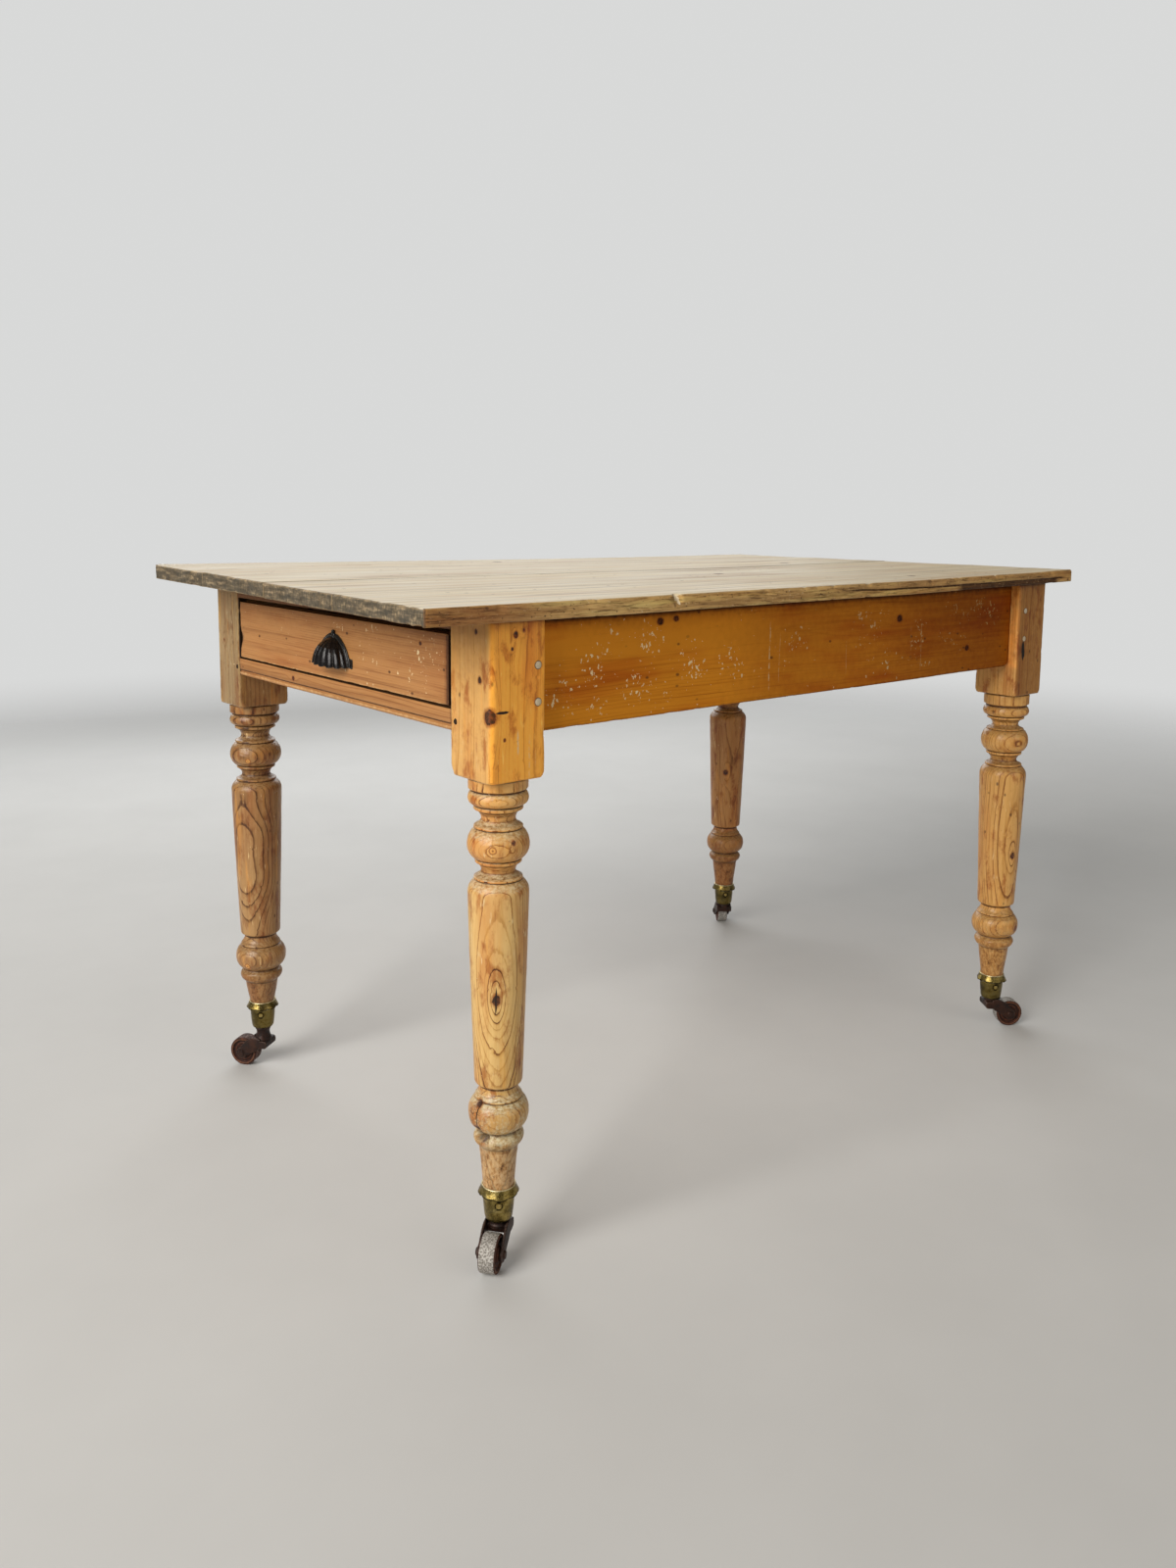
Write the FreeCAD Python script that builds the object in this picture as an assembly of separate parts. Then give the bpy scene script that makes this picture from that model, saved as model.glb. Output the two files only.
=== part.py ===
import FreeCAD, Part
import math
import os

# Pine farmhouse table: plank top, four turned legs on castors, aprons tenoned and pegged
# into the legs, one drawer in the short end. Millimetres, +Z up, origin on the floor under
# the middle of the top. The drawer end is at -X, the long side seen with it is at -Y.

# ---- driving dimensions -------------------------------------------------------------
TOP_L = 1220.0            # length of the top (X)
TOP_W = 734.0             # width of the top (Y)
TOP_T = 19.0              # thickness of the boards
HEIGHT = 762.0            # floor to top surface
BOARD_W = (190.0, 176.0, 184.0, 184.0)   # plank widths from -Y to +Y

LEG_SQ = 74.0             # square block of the leg
LEG_X_DRAWER = -483.0     # leg axes
LEG_X_FAR = 529.0
LEG_Y = 310.0
BLOCK_BOTTOM = 562.0      # where the square ends and the turning starts
ARRIS_R = 4.5             # worn arris of the leg block

SETBACK = 16.0            # apron face behind the leg face
RAIL_T = 22.0             # apron thickness
RAIL_BOTTOM = 613.0       # lower edge of the aprons
TENON_T = 12.0
SIDE_TENON_L = 36.0
END_TENON_L = 45.0
TENON_Z = (625.0, 729.0)

LOWER_RAIL_Z = (613.0, 637.6)   # rail under the drawer
UPPER_RAIL_Z = (725.0, 743.0)   # rail over the drawer
DRAWER_RAIL_DEPTH = 55.0
RUNNER_TOP = 638.2
RUNNER_END_X = 10.0

FRONT_T = 22.0            # drawer front
FRONT_HALF = 268.0
FRONT_Z = (640.0, 720.5)
SIDE_T = 12.0             # drawer sides
SIDE_OUT = 267.6
SIDE_Z = (638.6, 717.0)
DRAWER_BACK_X = -50.0
TAIL_L = 14.0             # lapped dovetail length at the front
BOTTOM_Z = (647.0, 655.0)

PULL_Y = -11.0            # cup pull centre
PULL_Z = 660.0            # its open lower edge
PULL_HALF = 39.0
PULL_H = 34.0
PULL_PROJ = 25.0
PULL_WALL = 2.4

PEG_R = 4.8               # tenon pegs
PEG_L = 42.0

CUP_TOP = 88.0            # top of the brass cup on three legs
CUP_LIFT = 16.0           # the fourth leg carries its cup higher on a longer collar
CUP_H = 40.0
WHEEL_R = 22.0
WHEEL_HALF = 9.75
CASTOR_OFFSET = 30.0      # wheel axle behind the swivel axis
PIN_R = 5.0
AXLE_R = 4.0
RUN_CLEAR = 0.06          # radial running clearance of pin and axle
GAP = 0.3                 # axial play between moving faces

Z_UNDER = HEIGHT - TOP_T
H = LEG_SQ / 2.0
V = FreeCAD.Vector

os.makedirs("parts", exist_ok=True)


# ---- helpers ------------------------------------------------------------------------
def box(x0, x1, y0, y1, z0, z1):
    x0, x1 = min(x0, x1), max(x0, x1)
    y0, y1 = min(y0, y1), max(y0, y1)
    z0, z1 = min(z0, z1), max(z0, z1)
    return Part.makeBox(x1 - x0, y1 - y0, z1 - z0, V(x0, y0, z0))


def cyl(r, p, q):
    d = V(*q) - V(*p)
    return Part.makeCylinder(r, d.Length, V(*p), d)


def cone(r0, r1, p, q):
    d = V(*q) - V(*p)
    return Part.makeCone(r0, r1, d.Length, V(*p), d)


def fuse(first, *rest):
    s = first.fuse(list(rest))
    return s.removeSplitter()


def cut(s, *tools):
    bb = s.BoundBox
    tools = [t for t in tools if bb.intersect(t.BoundBox)]
    return s.cut(tools) if tools else s


def wire(path):
    """path: start point, then ('l', p) or ('a', mid, p) steps, in the XZ plane."""
    edges = []
    p = path[0]
    for step in path[1:]:
        if step[0] == "l":
            q = step[1]
            edges.append(Part.LineSegment(V(p[0], 0, p[1]), V(q[0], 0, q[1])).toShape())
        else:
            m, q = step[1], step[2]
            edges.append(Part.Arc(V(p[0], 0, p[1]), V(m[0], 0, m[1]), V(q[0], 0, q[1])).toShape())
        p = q
    return Part.Wire(edges)


def turned(path):
    """Solid of revolution about Z from a closed half profile."""
    return Part.Face(wire(path)).revolve(V(0, 0, 0), V(0, 0, 1), 360)


def prism_y(points, y0, y1):
    """Polygon in XZ, extruded from y0 to y1."""
    y0, y1 = min(y0, y1), max(y0, y1)
    pts = [V(x, y0, z) for x, z in points]
    return Part.Face(Part.makePolygon(pts + [pts[0]])).extrude(V(0, y1 - y0, 0))


def prism_z(points, z0, z1):
    """Polygon in XY, extruded from z0 to z1."""
    pts = [V(x, y, z0) for x, y in points]
    return Part.Face(Part.makePolygon(pts + [pts[0]])).extrude(V(0, 0, z1 - z0))


def solid_of(s):
    return s.Solids[0] if len(s.Solids) == 1 else Part.makeCompound(s.Solids)


NODES = {}


def node(name, shape):
    NODES[name] = shape


# ---- legs ---------------------------------------------------------------------------
LEGS = {
    "drawer_right": (LEG_X_DRAWER, -LEG_Y, 0.0, -142.0),
    "drawer_left": (LEG_X_DRAWER, LEG_Y, CUP_LIFT, 125.0),
    "far_right": (LEG_X_FAR, -LEG_Y, 0.0, -36.0),
    "far_left": (LEG_X_FAR, LEG_Y, 0.0, 52.0),
}


def leg_blank(lift):
    top = CUP_TOP + lift
    block = box(-H, H, -H, H, BLOCK_BOTTOM, Z_UNDER)
    block = block.makeFillet(
        ARRIS_R,
        [e for e in block.Edges if abs(e.BoundBox.XLength) < 1e-6 and abs(e.BoundBox.YLength) < 1e-6],
    )
    # the shoulder under the square is rounded where the turning tool runs out
    shoulder = turned([
        (0, BLOCK_BOTTOM), ("l", (36.5, BLOCK_BOTTOM)),
        ("a", (43.5, BLOCK_BOTTOM + 5.0), (51.0, BLOCK_BOTTOM + 20.0)),
        ("l", (51.0, Z_UNDER)), ("l", (0, Z_UNDER)), ("l", (0, BLOCK_BOTTOM)),
    ])
    block = block.common(shoulder)
    a0, a1 = (20.6, 121.0), (19.6, 107.0)
    if lift:
        a0, a1 = (20.8, 124.0), (19.8, 114.0)
    spindle = turned([
        (0, BLOCK_BOTTOM + 1.0), ("l", (33.2, BLOCK_BOTTOM + 1.0)), ("l", (33.2, 551.0)),
        ("l", (31.2, 548.6)), ("l", (31.2, 547.2)),
        ("a", (33.5, 540.3), (31.2, 533.4)),           # upper ring
        ("l", (26.2, 532.4)), ("l", (26.2, 529.6)),    # fillet
        ("a", (19.2, 518.6), (24.0, 508.6)),           # cove
        ("l", (26.0, 507.2)),
        ("a", (34.7, 488.4), (26.0, 470.8)),           # upper ball
        ("l", (24.2, 469.6)),
        ("a", (19.1, 459.6), (23.4, 451.8)),           # cove
        ("l", (26.2, 451.4)), ("l", (26.2, 449.2)),    # fillet
        ("a", (32.0, 443.0), (34.8, 434.6)),           # shoulder of the long taper
        ("l", (27.4, 214.0)),
        ("a", (25.2, 209.0), (22.0, 205.4)),
        ("l", (22.0, 201.6)),
        ("l", (24.6, 198.2)),
        ("a", (34.9, 174.6), (26.6, 156.6)),           # lower ball
        ("l", (25.4, 155.0)), ("l", (25.4, 151.2)),
        ("a", (28.7, 145.2), (26.2, 139.2)),           # lower ring
        ("l", (23.8, 136.6)), ("l", (21.8, 132.0)),
        ("l", a0), ("l", a1), ("l", (18.0, top)),      # ankle
        ("l", (12.0, top - 24.0)), ("l", (0, top - 24.0)),
        ("l", (0, BLOCK_BOTTOM + 1.0)),
    ])
    return fuse(block, spindle)


legs = {}
for key, (lx, ly, lift, ang) in LEGS.items():
    s = leg_blank(lift)
    s.translate(V(lx, ly, 0))
    legs[key] = s

# ---- aprons and drawer rails --------------------------------------------------------
X_IN_D = LEG_X_DRAWER + H        # inner faces of the legs
X_IN_F = LEG_X_FAR - H
Y_IN = LEG_Y - H
Y_FACE = LEG_Y + H - SETBACK     # outer apron face
Y_BACK = Y_FACE - RAIL_T
X_FACE_D = LEG_X_DRAWER - H      # face of the drawer end
X_FACE_F = LEG_X_FAR + H - SETBACK

rails = {}
ten0 = Y_FACE - (RAIL_T - TENON_T) / 2.0
for side, sy in (("right", -1), ("left", 1)):
    body = box(X_IN_D, X_IN_F, sy * Y_BACK, sy * Y_FACE, RAIL_BOTTOM, Z_UNDER)
    t1 = box(X_IN_D - SIDE_TENON_L, X_IN_D, sy * (ten0 - TENON_T), sy * ten0, *TENON_Z)
    t2 = box(X_IN_F, X_IN_F + SIDE_TENON_L, sy * (ten0 - TENON_T), sy * ten0, *TENON_Z)
    rails["side_rail_" + side] = fuse(body, t1, t2)
xt = X_FACE_F - (RAIL_T - TENON_T) / 2.0
rails["end_rail_far"] = fuse(
    box(X_FACE_F - RAIL_T, X_FACE_F, -Y_IN, Y_IN, RAIL_BOTTOM, Z_UNDER),
    box(xt - TENON_T, xt, Y_IN, Y_IN + END_TENON_L, *TENON_Z),
    box(xt - TENON_T, xt, -Y_IN - END_TENON_L, -Y_IN, *TENON_Z),
)
XR0, XR1 = X_FACE_D, X_FACE_D + DRAWER_RAIL_DEPTH
# lower drawer rail: a scratched quirk and bead along its lower front edge
lower_sec = [
    (XR0, LOWER_RAIL_Z[0] + 9.4), (XR0 + 1.4, LOWER_RAIL_Z[0] + 8.8), (XR0 + 1.4, LOWER_RAIL_Z[0] + 7.9),
    (XR0 + 0.4, LOWER_RAIL_Z[0] + 7.0), (XR0, LOWER_RAIL_Z[0] + 5.2), (XR0 + 0.4, LOWER_RAIL_Z[0] + 2.8),
    (XR0 + 1.8, LOWER_RAIL_Z[0] + 0.8), (XR0 + 4.2, LOWER_RAIL_Z[0]),
    (XR1, LOWER_RAIL_Z[0]), (XR1, LOWER_RAIL_Z[1]), (XR0, LOWER_RAIL_Z[1]),
]
rails["drawer_rail_lower"] = fuse(
    prism_y(lower_sec, -Y_IN, Y_IN),
    box(XR0 + 6, XR0 + 48, Y_IN, Y_IN + 30, 618, 634),
    box(XR0 + 6, XR0 + 48, -Y_IN - 30, -Y_IN, 618, 634),
)
# upper drawer rail: dovetailed down into the leg tops
dove = lambda s: prism_z(
    [(XR0 + 10, s * Y_IN), (XR0 + 42, s * Y_IN), (XR0 + 47, s * (Y_IN + 30)), (XR0 + 5, s * (Y_IN + 30))],
    *UPPER_RAIL_Z)
rails["drawer_rail_upper"] = fuse(box(XR0, XR1, -Y_IN, Y_IN, *UPPER_RAIL_Z), dove(1), dove(-1))

for key in legs:
    legs[key] = cut(legs[key], *rails.values())

# ---- tenon pegs and rail nails ------------------------------------------------------
pegs = []
for sy in (-1, 1):
    y0, y1 = sy * (LEG_Y + H), sy * (LEG_Y + H - PEG_L)
    for x, z in ((X_IN_D - 11, 689), (X_IN_D - 11, 649), (X_IN_F + 16, 701), (X_IN_F + 16, 657)):
        pegs.append(cyl(PEG_R, (x, y0, z), (x, y1, z)))
for sy in (-1, 1):
    for z in (694, 654):
        y = sy * (Y_IN + 14)
        pegs.append(cyl(PEG_R, (LEG_X_FAR + H, y, z), (LEG_X_FAR + H - PEG_L, y, z)))
nails = []
for y in (-Y_IN - 9, Y_IN + 9):
    nails.append(fuse(cyl(2.2, (X_FACE_D + 1.2, y, 625), (X_FACE_D + 42, y, 625)),
                      cyl(3.6, (X_FACE_D, y, 625), (X_FACE_D + 1.2, y, 625))))
for key in legs:
    legs[key] = cut(legs[key], *pegs, *nails)
for key in rails:
    rails[key] = cut(rails[key], *pegs, *nails)

# ---- drawer runners, guides, kickers, stops -----------------------------------------
Y_RUN = 252.0
Y_GUIDE = SIDE_OUT + 1.8         # face of the side guides
inner = {}
for side, sy in (("right", -1), ("left", 1)):
    run = fuse(
        box(XR1, RUNNER_END_X, sy * Y_RUN, sy * Y_IN, 614.5, RUNNER_TOP),
        box(X_IN_D, RUNNER_END_X, sy * Y_IN, sy * Y_BACK, 614.5, RUNNER_TOP),
        box(XR1 - 9, XR1, sy * (Y_RUN + 1.5), sy * (Y_IN - 1.5), 620, 631),
    )
    inner["drawer_runner_" + side] = run
    inner["drawer_guide_" + side] = box(X_IN_D, RUNNER_END_X, sy * Y_GUIDE, sy * Y_BACK, RUNNER_TOP, 660)
    inner["drawer_kicker_" + side] = fuse(
        box(XR1, RUNNER_END_X, sy * Y_RUN, sy * Y_IN, *UPPER_RAIL_Z),
        box(X_IN_D, RUNNER_END_X, sy * Y_IN, sy * Y_BACK, *UPPER_RAIL_Z),
    )
rails["drawer_rail_lower"] = cut(rails["drawer_rail_lower"], inner["drawer_runner_right"], inner["drawer_runner_left"])
stops = [box(DRAWER_BACK_X + 0.5, DRAWER_BACK_X + 26, sy * Y_RUN, sy * (Y_GUIDE - 0.8), RUNNER_TOP, 660) for sy in (-1, 1)]

run_nails = []
for sy in (-1, 1):
    for x in (-380, -200, -20):
        run_nails.append(fuse(cyl(2.0, (x, sy * (Y_RUN + 1.2), 626), (x, sy * (Y_BACK + 15), 626)),
                              cyl(3.6, (x, sy * Y_RUN, 626), (x, sy * (Y_RUN + 1.2), 626))))
for side in ("right", "left"):
    inner["drawer_runner_" + side] = cut(inner["drawer_runner_" + side], *run_nails)
    rails["side_rail_" + side] = cut(rails["side_rail_" + side], *run_nails)

# ---- glue blocks and the screws that hold the top -----------------------------------
BLK = 30.0
blocks = []
for sy in (-1, 1):
    for x in (140.0, 380.0):
        blocks.append(box(x, x + 60, sy * (Y_BACK - 22), sy * Y_BACK, Z_UNDER - BLK, Z_UNDER))
for y in (-160.0, 100.0):
    blocks.append(box(X_FACE_F - RAIL_T - 22, X_FACE_F - RAIL_T, y, y + 60, Z_UNDER - BLK, Z_UNDER))


def wood_screw(x, y, z0, z1):
    head = cone(4.6, 2.2, (x, y, z0), (x, y, z0 + 3.0))
    shank = cyl(2.2, (x, y, z0 + 3.0), (x, y, z1 - 4.0))
    tip = cone(2.2, 0.6, (x, y, z1 - 4.0), (x, y, z1))
    s = fuse(head, shank, tip)
    return cut(s, box(x - 4.8, x + 4.8, y - 0.5, y + 0.5, z0 - 0.1, z0 + 1.0))


def screw_hole(x, y, z0, z1):
    return fuse(cone(4.6, 2.2, (x, y, z0), (x, y, z0 + 3.0)), cyl(2.2, (x, y, z0 + 3.0), (x, y, z1 - 4.0)),
                cone(2.2, 0.6, (x, y, z1 - 4.0), (x, y, z1)))


spots = []
for sy in (-1, 1):
    spots += [(170.0, sy * (Y_BACK - 11), Z_UNDER - BLK), (410.0, sy * (Y_BACK - 11), Z_UNDER - BLK)]
    spots += [(-380.0, sy * 292.0, UPPER_RAIL_Z[0]), (-100.0, sy * 292.0, UPPER_RAIL_Z[0])]
for y in (-130.0, 130.0):
    spots.append((X_FACE_F - RAIL_T - 11, y, Z_UNDER - BLK))
for y in (-150.0, 150.0):
    spots.append((XR0 + 28, y, UPPER_RAIL_Z[0]))
top_screws = [wood_screw(x, y, z, Z_UNDER + 11) for x, y, z in spots]
holes = [screw_hole(x, y, z, Z_UNDER + 11) for x, y, z in spots]
blocks = [cut(b, *holes) for b in blocks]
rails["drawer_rail_upper"] = cut(rails["drawer_rail_upper"], *holes)
for side in ("right", "left"):
    inner["drawer_kicker_" + side] = cut(inner["drawer_kicker_" + side], *holes)

y = -TOP_W / 2.0
for i, w in enumerate(BOARD_W):
    b = box(-TOP_L / 2, TOP_L / 2, y, y + w, Z_UNDER, HEIGHT)
    node("top_board_%d" % (i + 1), cut(b, *holes))
    y += w

# ---- drawer -------------------------------------------------------------------------
XF0, XF1 = X_FACE_D, X_FACE_D + FRONT_T
XB1 = DRAWER_BACK_X
XB0 = XB1 - SIDE_T


def tails(sy, x_base, x_end, zs, hb, he, out=SIDE_OUT):
    return [prism_y([(x_base, z - hb), (x_base, z + hb), (x_end, z + he), (x_end, z - he)],
                    sy * (SIDE_OUT - SIDE_T), sy * out) for z in zs]


bottom = box(XF1 - 7, XB1 - 2, -(SIDE_OUT - SIDE_T + 6), SIDE_OUT - SIDE_T + 6, *BOTTOM_Z)
sides, front_cut, back_cut = {}, [], []
for side, sy in (("right", -1), ("left", 1)):
    tf = tails(sy, XF1, XF1 - TAIL_L, (658.0, 681.0, 704.0), 7.5, 9.5)
    tb = tails(sy, XB0, XB1, (671.0, 698.0), 8.0, 10.0)
    s = fuse(
        box(XF1, XB0, sy * (SIDE_OUT - SIDE_T), sy * SIDE_OUT, *SIDE_Z),
        box(XB0, XB1, sy * (SIDE_OUT - SIDE_T), sy * SIDE_OUT, SIDE_Z[0], BOTTOM_Z[1]),
        *tf, *tb)
    front_cut += tails(sy, XF1, XF1 - TAIL_L, (658.0, 681.0, 704.0), 7.5, 9.5, FRONT_HALF + 1.0)
    back_cut += tb
    sides[side] = cut(s, bottom)
# the lowest tail ends above the groove, so the groove runs behind it
front = box(XF0, XF1, -FRONT_HALF, FRONT_HALF, *FRONT_Z)
front = cut(front, bottom, *front_cut)
# a small ease on the drawer front's outer edges
back = cut(box(XB0, XB1, -SIDE_OUT, SIDE_OUT, BOTTOM_Z[1], 714.0), *back_cut)
back = cut(back, sides["right"], sides["left"])
split_x = -275.0
bot_f = bottom.common(box(-700, split_x, -400, 400, 600, 700))
bot_r = bottom.common(box(split_x, 100, -400, 400, 600, 700))
bot_nails = [fuse(cyl(1.3, (XB0 + 6, yy, BOTTOM_Z[0] + 1), (XB0 + 6, yy, 678)),
                  cyl(2.8, (XB0 + 6, yy, BOTTOM_Z[0]), (XB0 + 6, yy, BOTTOM_Z[0] + 1))) for yy in (-180.0, 0.0, 180.0)]
bot_r = cut(bot_r, *bot_nails)
back = cut(back, *bot_nails)

# cup pull: a quarter-ellipsoid shell with a thin flange and two screw lugs
def ellipsoid(a, b, c):
    s = Part.makeSphere(1.0)
    m = FreeCAD.Matrix()
    m.A11, m.A22, m.A33 = a, b, c
    return s.transformGeometry(m)


def flange(half, hgt, x0, x1):
    n = 40
    pts = [V(x0, half * math.cos(math.pi * i / n), hgt * math.sin(math.pi * i / n)) for i in range(n + 1)]
    curve = Part.BSplineCurve()
    curve.interpolate(pts)
    base = Part.LineSegment(pts[-1], pts[0]).toShape()
    return Part.Face(Part.Wire([curve.toShape(), base])).extrude(V(x1 - x0, 0, 0))


outer = ellipsoid(PULL_PROJ, PULL_HALF, PULL_H)
inside = ellipsoid(PULL_PROJ - PULL_WALL, PULL_HALF - PULL_WALL, PULL_H - PULL_WALL)
half_space = box(-60, 0, -80, 80, 0, 80)
dome = outer.common(half_space)
rim = flange(PULL_HALF + 3.6, PULL_H + 3.4, -1.8, 0.0)
lugs = [Part.makeCylinder(6.2, 1.8, V(-1.8, s * (PULL_HALF + 1.0), 6.2), V(1, 0, 0)) for s in (-1, 1)]
finial = Part.makeSphere(3.6, V(-3.2, 0, PULL_H + 4.6)).common(half_space)
pull = dome.fuse([rim, finial] + lugs)
pull = pull.cut(inside)
pull.translate(V(X_FACE_D, PULL_Y, PULL_Z))
pull_screws = []
for s in (-1, 1):
    yy, zz = PULL_Y + s * (PULL_HALF + 3.6), PULL_Z + 6.2
    hole = fuse(cone(2.9, 1.5, (X_FACE_D - 1.8, yy, zz), (X_FACE_D, yy, zz)),
                cyl(1.5, (X_FACE_D, yy, zz), (X_FACE_D + 13, yy, zz)))
    pull = pull.cut(hole)
    front = cut(front, hole)
    pull_screws.append(cut(hole, box(X_FACE_D - 2, X_FACE_D - 1.2, yy - 3.2, yy + 3.2, zz - 0.4, zz + 0.4)))

# ---- castors ------------------------------------------------------------------------
def castor_cup(lift):
    t = CUP_TOP + lift
    b = t - CUP_H
    return turned([
        (18.0, t), ("l", (19.2, t)), ("l", (23.0, t - 8.6)), ("l", (22.6, t - 10.0)),
        ("l", (19.0, t - 11.4)), ("l", (18.2, t - 12.6)),
        ("l", (16.0, b + 4.0)), ("a", (15.2, b + 1.4), (13.0, b)),
        ("l", (PIN_R + RUN_CLEAR, b)), ("l", (PIN_R + RUN_CLEAR, b + 6.0)),
        ("l", (12.0, b + 6.0)), ("l", (12.0, t - 24.0)), ("l", (18.0, t)),
    ])


def tangent(p, c, r, sign):
    """Point where a line from p touches the circle c, r."""
    dx, dz = p[0] - c[0], p[1] - c[1]
    d = math.hypot(dx, dz)
    base = math.atan2(dz, dx)
    a = math.acos(r / d)
    return (c[0] + r * math.cos(base + sign * a), c[1] + r * math.sin(base + sign * a))


def castor_parts(lift):
    b = CUP_TOP + lift - CUP_H
    c = (CASTOR_OFFSET, WHEEL_R)
    er = 8.5
    up = tangent((9.0, 44.0), c, er, -1)
    low = tangent((-10.0, 33.0), c, er, 1)
    prof = [
        (-10.0, 33.0), ("l", (-12.0, 36.0)), ("l", (-12.0, 44.0)), ("l", (9.0, 44.0)), ("l", up),
        ("a", (c[0] + er * 0.94, c[1] - er * 0.342), low), ("l", (-10.0, 33.0)),
    ]
    face = Part.Face(wire(prof))
    cheeks = []
    for w0 in (11.2, -15.2):
        f = face.copy()
        f.translate(V(0, w0, 0))
        cheeks.append(f.extrude(V(0, 4.0, 0)))
    block = box(-12.0, 9.0, -15.2, 15.2, 36.0, 44.0)
    collar = Part.makeCylinder(12.6, b - GAP - 42.0, V(0, 0, 42.0))
    horn = fuse(block, collar, *cheeks)
    pin = Part.makeCylinder(PIN_R, b + 6.0 + GAP - 36.0, V(0, 0, 36.0)).fuse([
        Part.makeCone(6.0, 7.0, 2.0, V(0, 0, 34.0)),
        Part.makeCylinder(8.0, 3.0, V(0, 0, b + 6.0 + GAP))]).removeSplitter()
    axle = fuse(cyl(AXLE_R, (c[0], -15.2, c[1]), (c[0], 15.2, c[1])),
                cone(5.6, 4.0, (c[0], 15.2, c[1]), (c[0], 17.4, c[1])),
                cone(5.6, 4.0, (c[0], -15.2, c[1]), (c[0], -17.4, c[1])))
    horn = cut(horn, Part.makeCylinder(PIN_R, 80, V(0, 0, 20)), cyl(AXLE_R, (c[0], -30, c[1]), (c[0], 30, c[1])))
    ar = AXLE_R + RUN_CLEAR
    wheel = turned([
        (ar, -10.8), ("l", (8.6, -10.8)), ("l", (9.4, -7.4)), ("l", (16.6, -7.4)), ("l", (17.6, -WHEEL_HALF)),
        ("l", (20.6, -WHEEL_HALF)), ("a", (21.6, -9.2), (WHEEL_R, -8.0)), ("l", (WHEEL_R, 8.0)),
        ("a", (21.6, 9.2), (20.6, WHEEL_HALF)), ("l", (17.6, WHEEL_HALF)), ("l", (16.6, 7.4)),
        ("l", (9.4, 7.4)), ("l", (8.6, 10.8)), ("l", (ar, 10.8)), ("l", (ar, -10.8)),
    ])
    wheel.rotate(V(0, 0, 0), V(1, 0, 0), 90)
    wheel.translate(V(c[0], 0, c[1]))
    return horn, pin, axle, wheel


cup_screws = []
for key, (lx, ly, lift, ang) in LEGS.items():
    cup = castor_cup(lift)
    cup.translate(V(lx, ly, 0))
    zz = CUP_TOP + lift - 17.0
    tools = []
    for a in (-125.0, 55.0):
        d = V(math.cos(math.radians(a)), math.sin(math.radians(a)), 0)
        at = lambda r: (lx + d.x * r, ly + d.y * r, zz)
        tools.append(fuse(cyl(1.4, at(5.0), at(16.6)), cyl(2.8, at(16.6), at(18.5))))
    cup_screws += tools
    node("castor_cup_" + key, cut(cup, *tools))
    legs[key] = cut(legs[key], *tools)
    names = ("castor_horn_", "castor_pin_", "castor_axle_", "castor_wheel_")
    for nm, s in zip(names, castor_parts(lift)):
        s.rotate(V(0, 0, 0), V(0, 0, 1), ang)
        s.translate(V(lx, ly, 0))
        node(nm + key, s)

# ---- nodes --------------------------------------------------------------------------
for key in legs:
    node("leg_" + key, legs[key])
for key in rails:
    node(key, rails[key])
for key in inner:
    node(key, inner[key])
node("drawer_stops", Part.makeCompound(stops))
node("runner_nails", Part.makeCompound(run_nails))
node("glue_blocks", Part.makeCompound(blocks))
node("top_screws", Part.makeCompound(top_screws))
node("tenon_pegs", Part.makeCompound(pegs))
node("rail_nails", Part.makeCompound(nails))
node("drawer_front", front)
node("drawer_side_right", sides["right"])
node("drawer_side_left", sides["left"])
node("drawer_back", back)
node("drawer_bottom_front", bot_f)
node("drawer_bottom_rear", bot_r)
node("drawer_bottom_nails", Part.makeCompound(bot_nails))
node("drawer_pull", pull)
node("pull_screws", Part.makeCompound(pull_screws))
node("castor_cup_screws", Part.makeCompound(cup_screws))

for name in sorted(NODES):
    s = NODES[name]
    s = solid_of(s) if s.Solids else s
    ok = s.isValid()
    bb = s.BoundBox
    print("%-28s solids %2d valid %s vol %10.0f  x %.1f %.1f  y %.1f %.1f  z %.1f %.1f" % (
        name, len(s.Solids), ok, s.Volume, bb.XMin, bb.XMax, bb.YMin, bb.YMax, bb.ZMin, bb.ZMax))
    s.exportStep("parts/%s.step" % name)
print(len(NODES), "nodes")
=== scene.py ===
import math

import bpy
import numpy as np
from mathutils import Matrix, Vector


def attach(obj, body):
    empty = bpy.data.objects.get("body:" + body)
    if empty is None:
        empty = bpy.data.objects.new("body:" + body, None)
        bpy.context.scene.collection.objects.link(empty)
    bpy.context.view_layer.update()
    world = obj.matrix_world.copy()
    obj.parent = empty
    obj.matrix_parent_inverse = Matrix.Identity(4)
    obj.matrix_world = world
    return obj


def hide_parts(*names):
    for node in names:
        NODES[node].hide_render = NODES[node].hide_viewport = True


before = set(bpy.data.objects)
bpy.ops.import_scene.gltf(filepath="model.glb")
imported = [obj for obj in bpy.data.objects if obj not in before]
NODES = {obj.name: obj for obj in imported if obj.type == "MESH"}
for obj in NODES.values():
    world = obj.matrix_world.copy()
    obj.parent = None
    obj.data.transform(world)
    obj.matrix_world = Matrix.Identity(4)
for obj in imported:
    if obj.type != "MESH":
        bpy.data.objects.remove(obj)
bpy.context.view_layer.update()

scene = bpy.context.scene


# ---------------------------------------------------------------- seeded noise
def _hash(ix, iy, iz, seed):
    h = ix * 374761393 + iy * 668265263 + iz * 1442695041 + seed * 974634321
    h = (h ^ (h >> 13)) & 0xFFFFFFFF
    h = (h * 1274126177) & 0xFFFFFFFF
    h = h ^ (h >> 16)
    h = (h * 668265263) & 0xFFFFFFFF
    h = h ^ (h >> 15)
    return (h & 0xFFFFFF) / float(0xFFFFFF)


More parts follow.
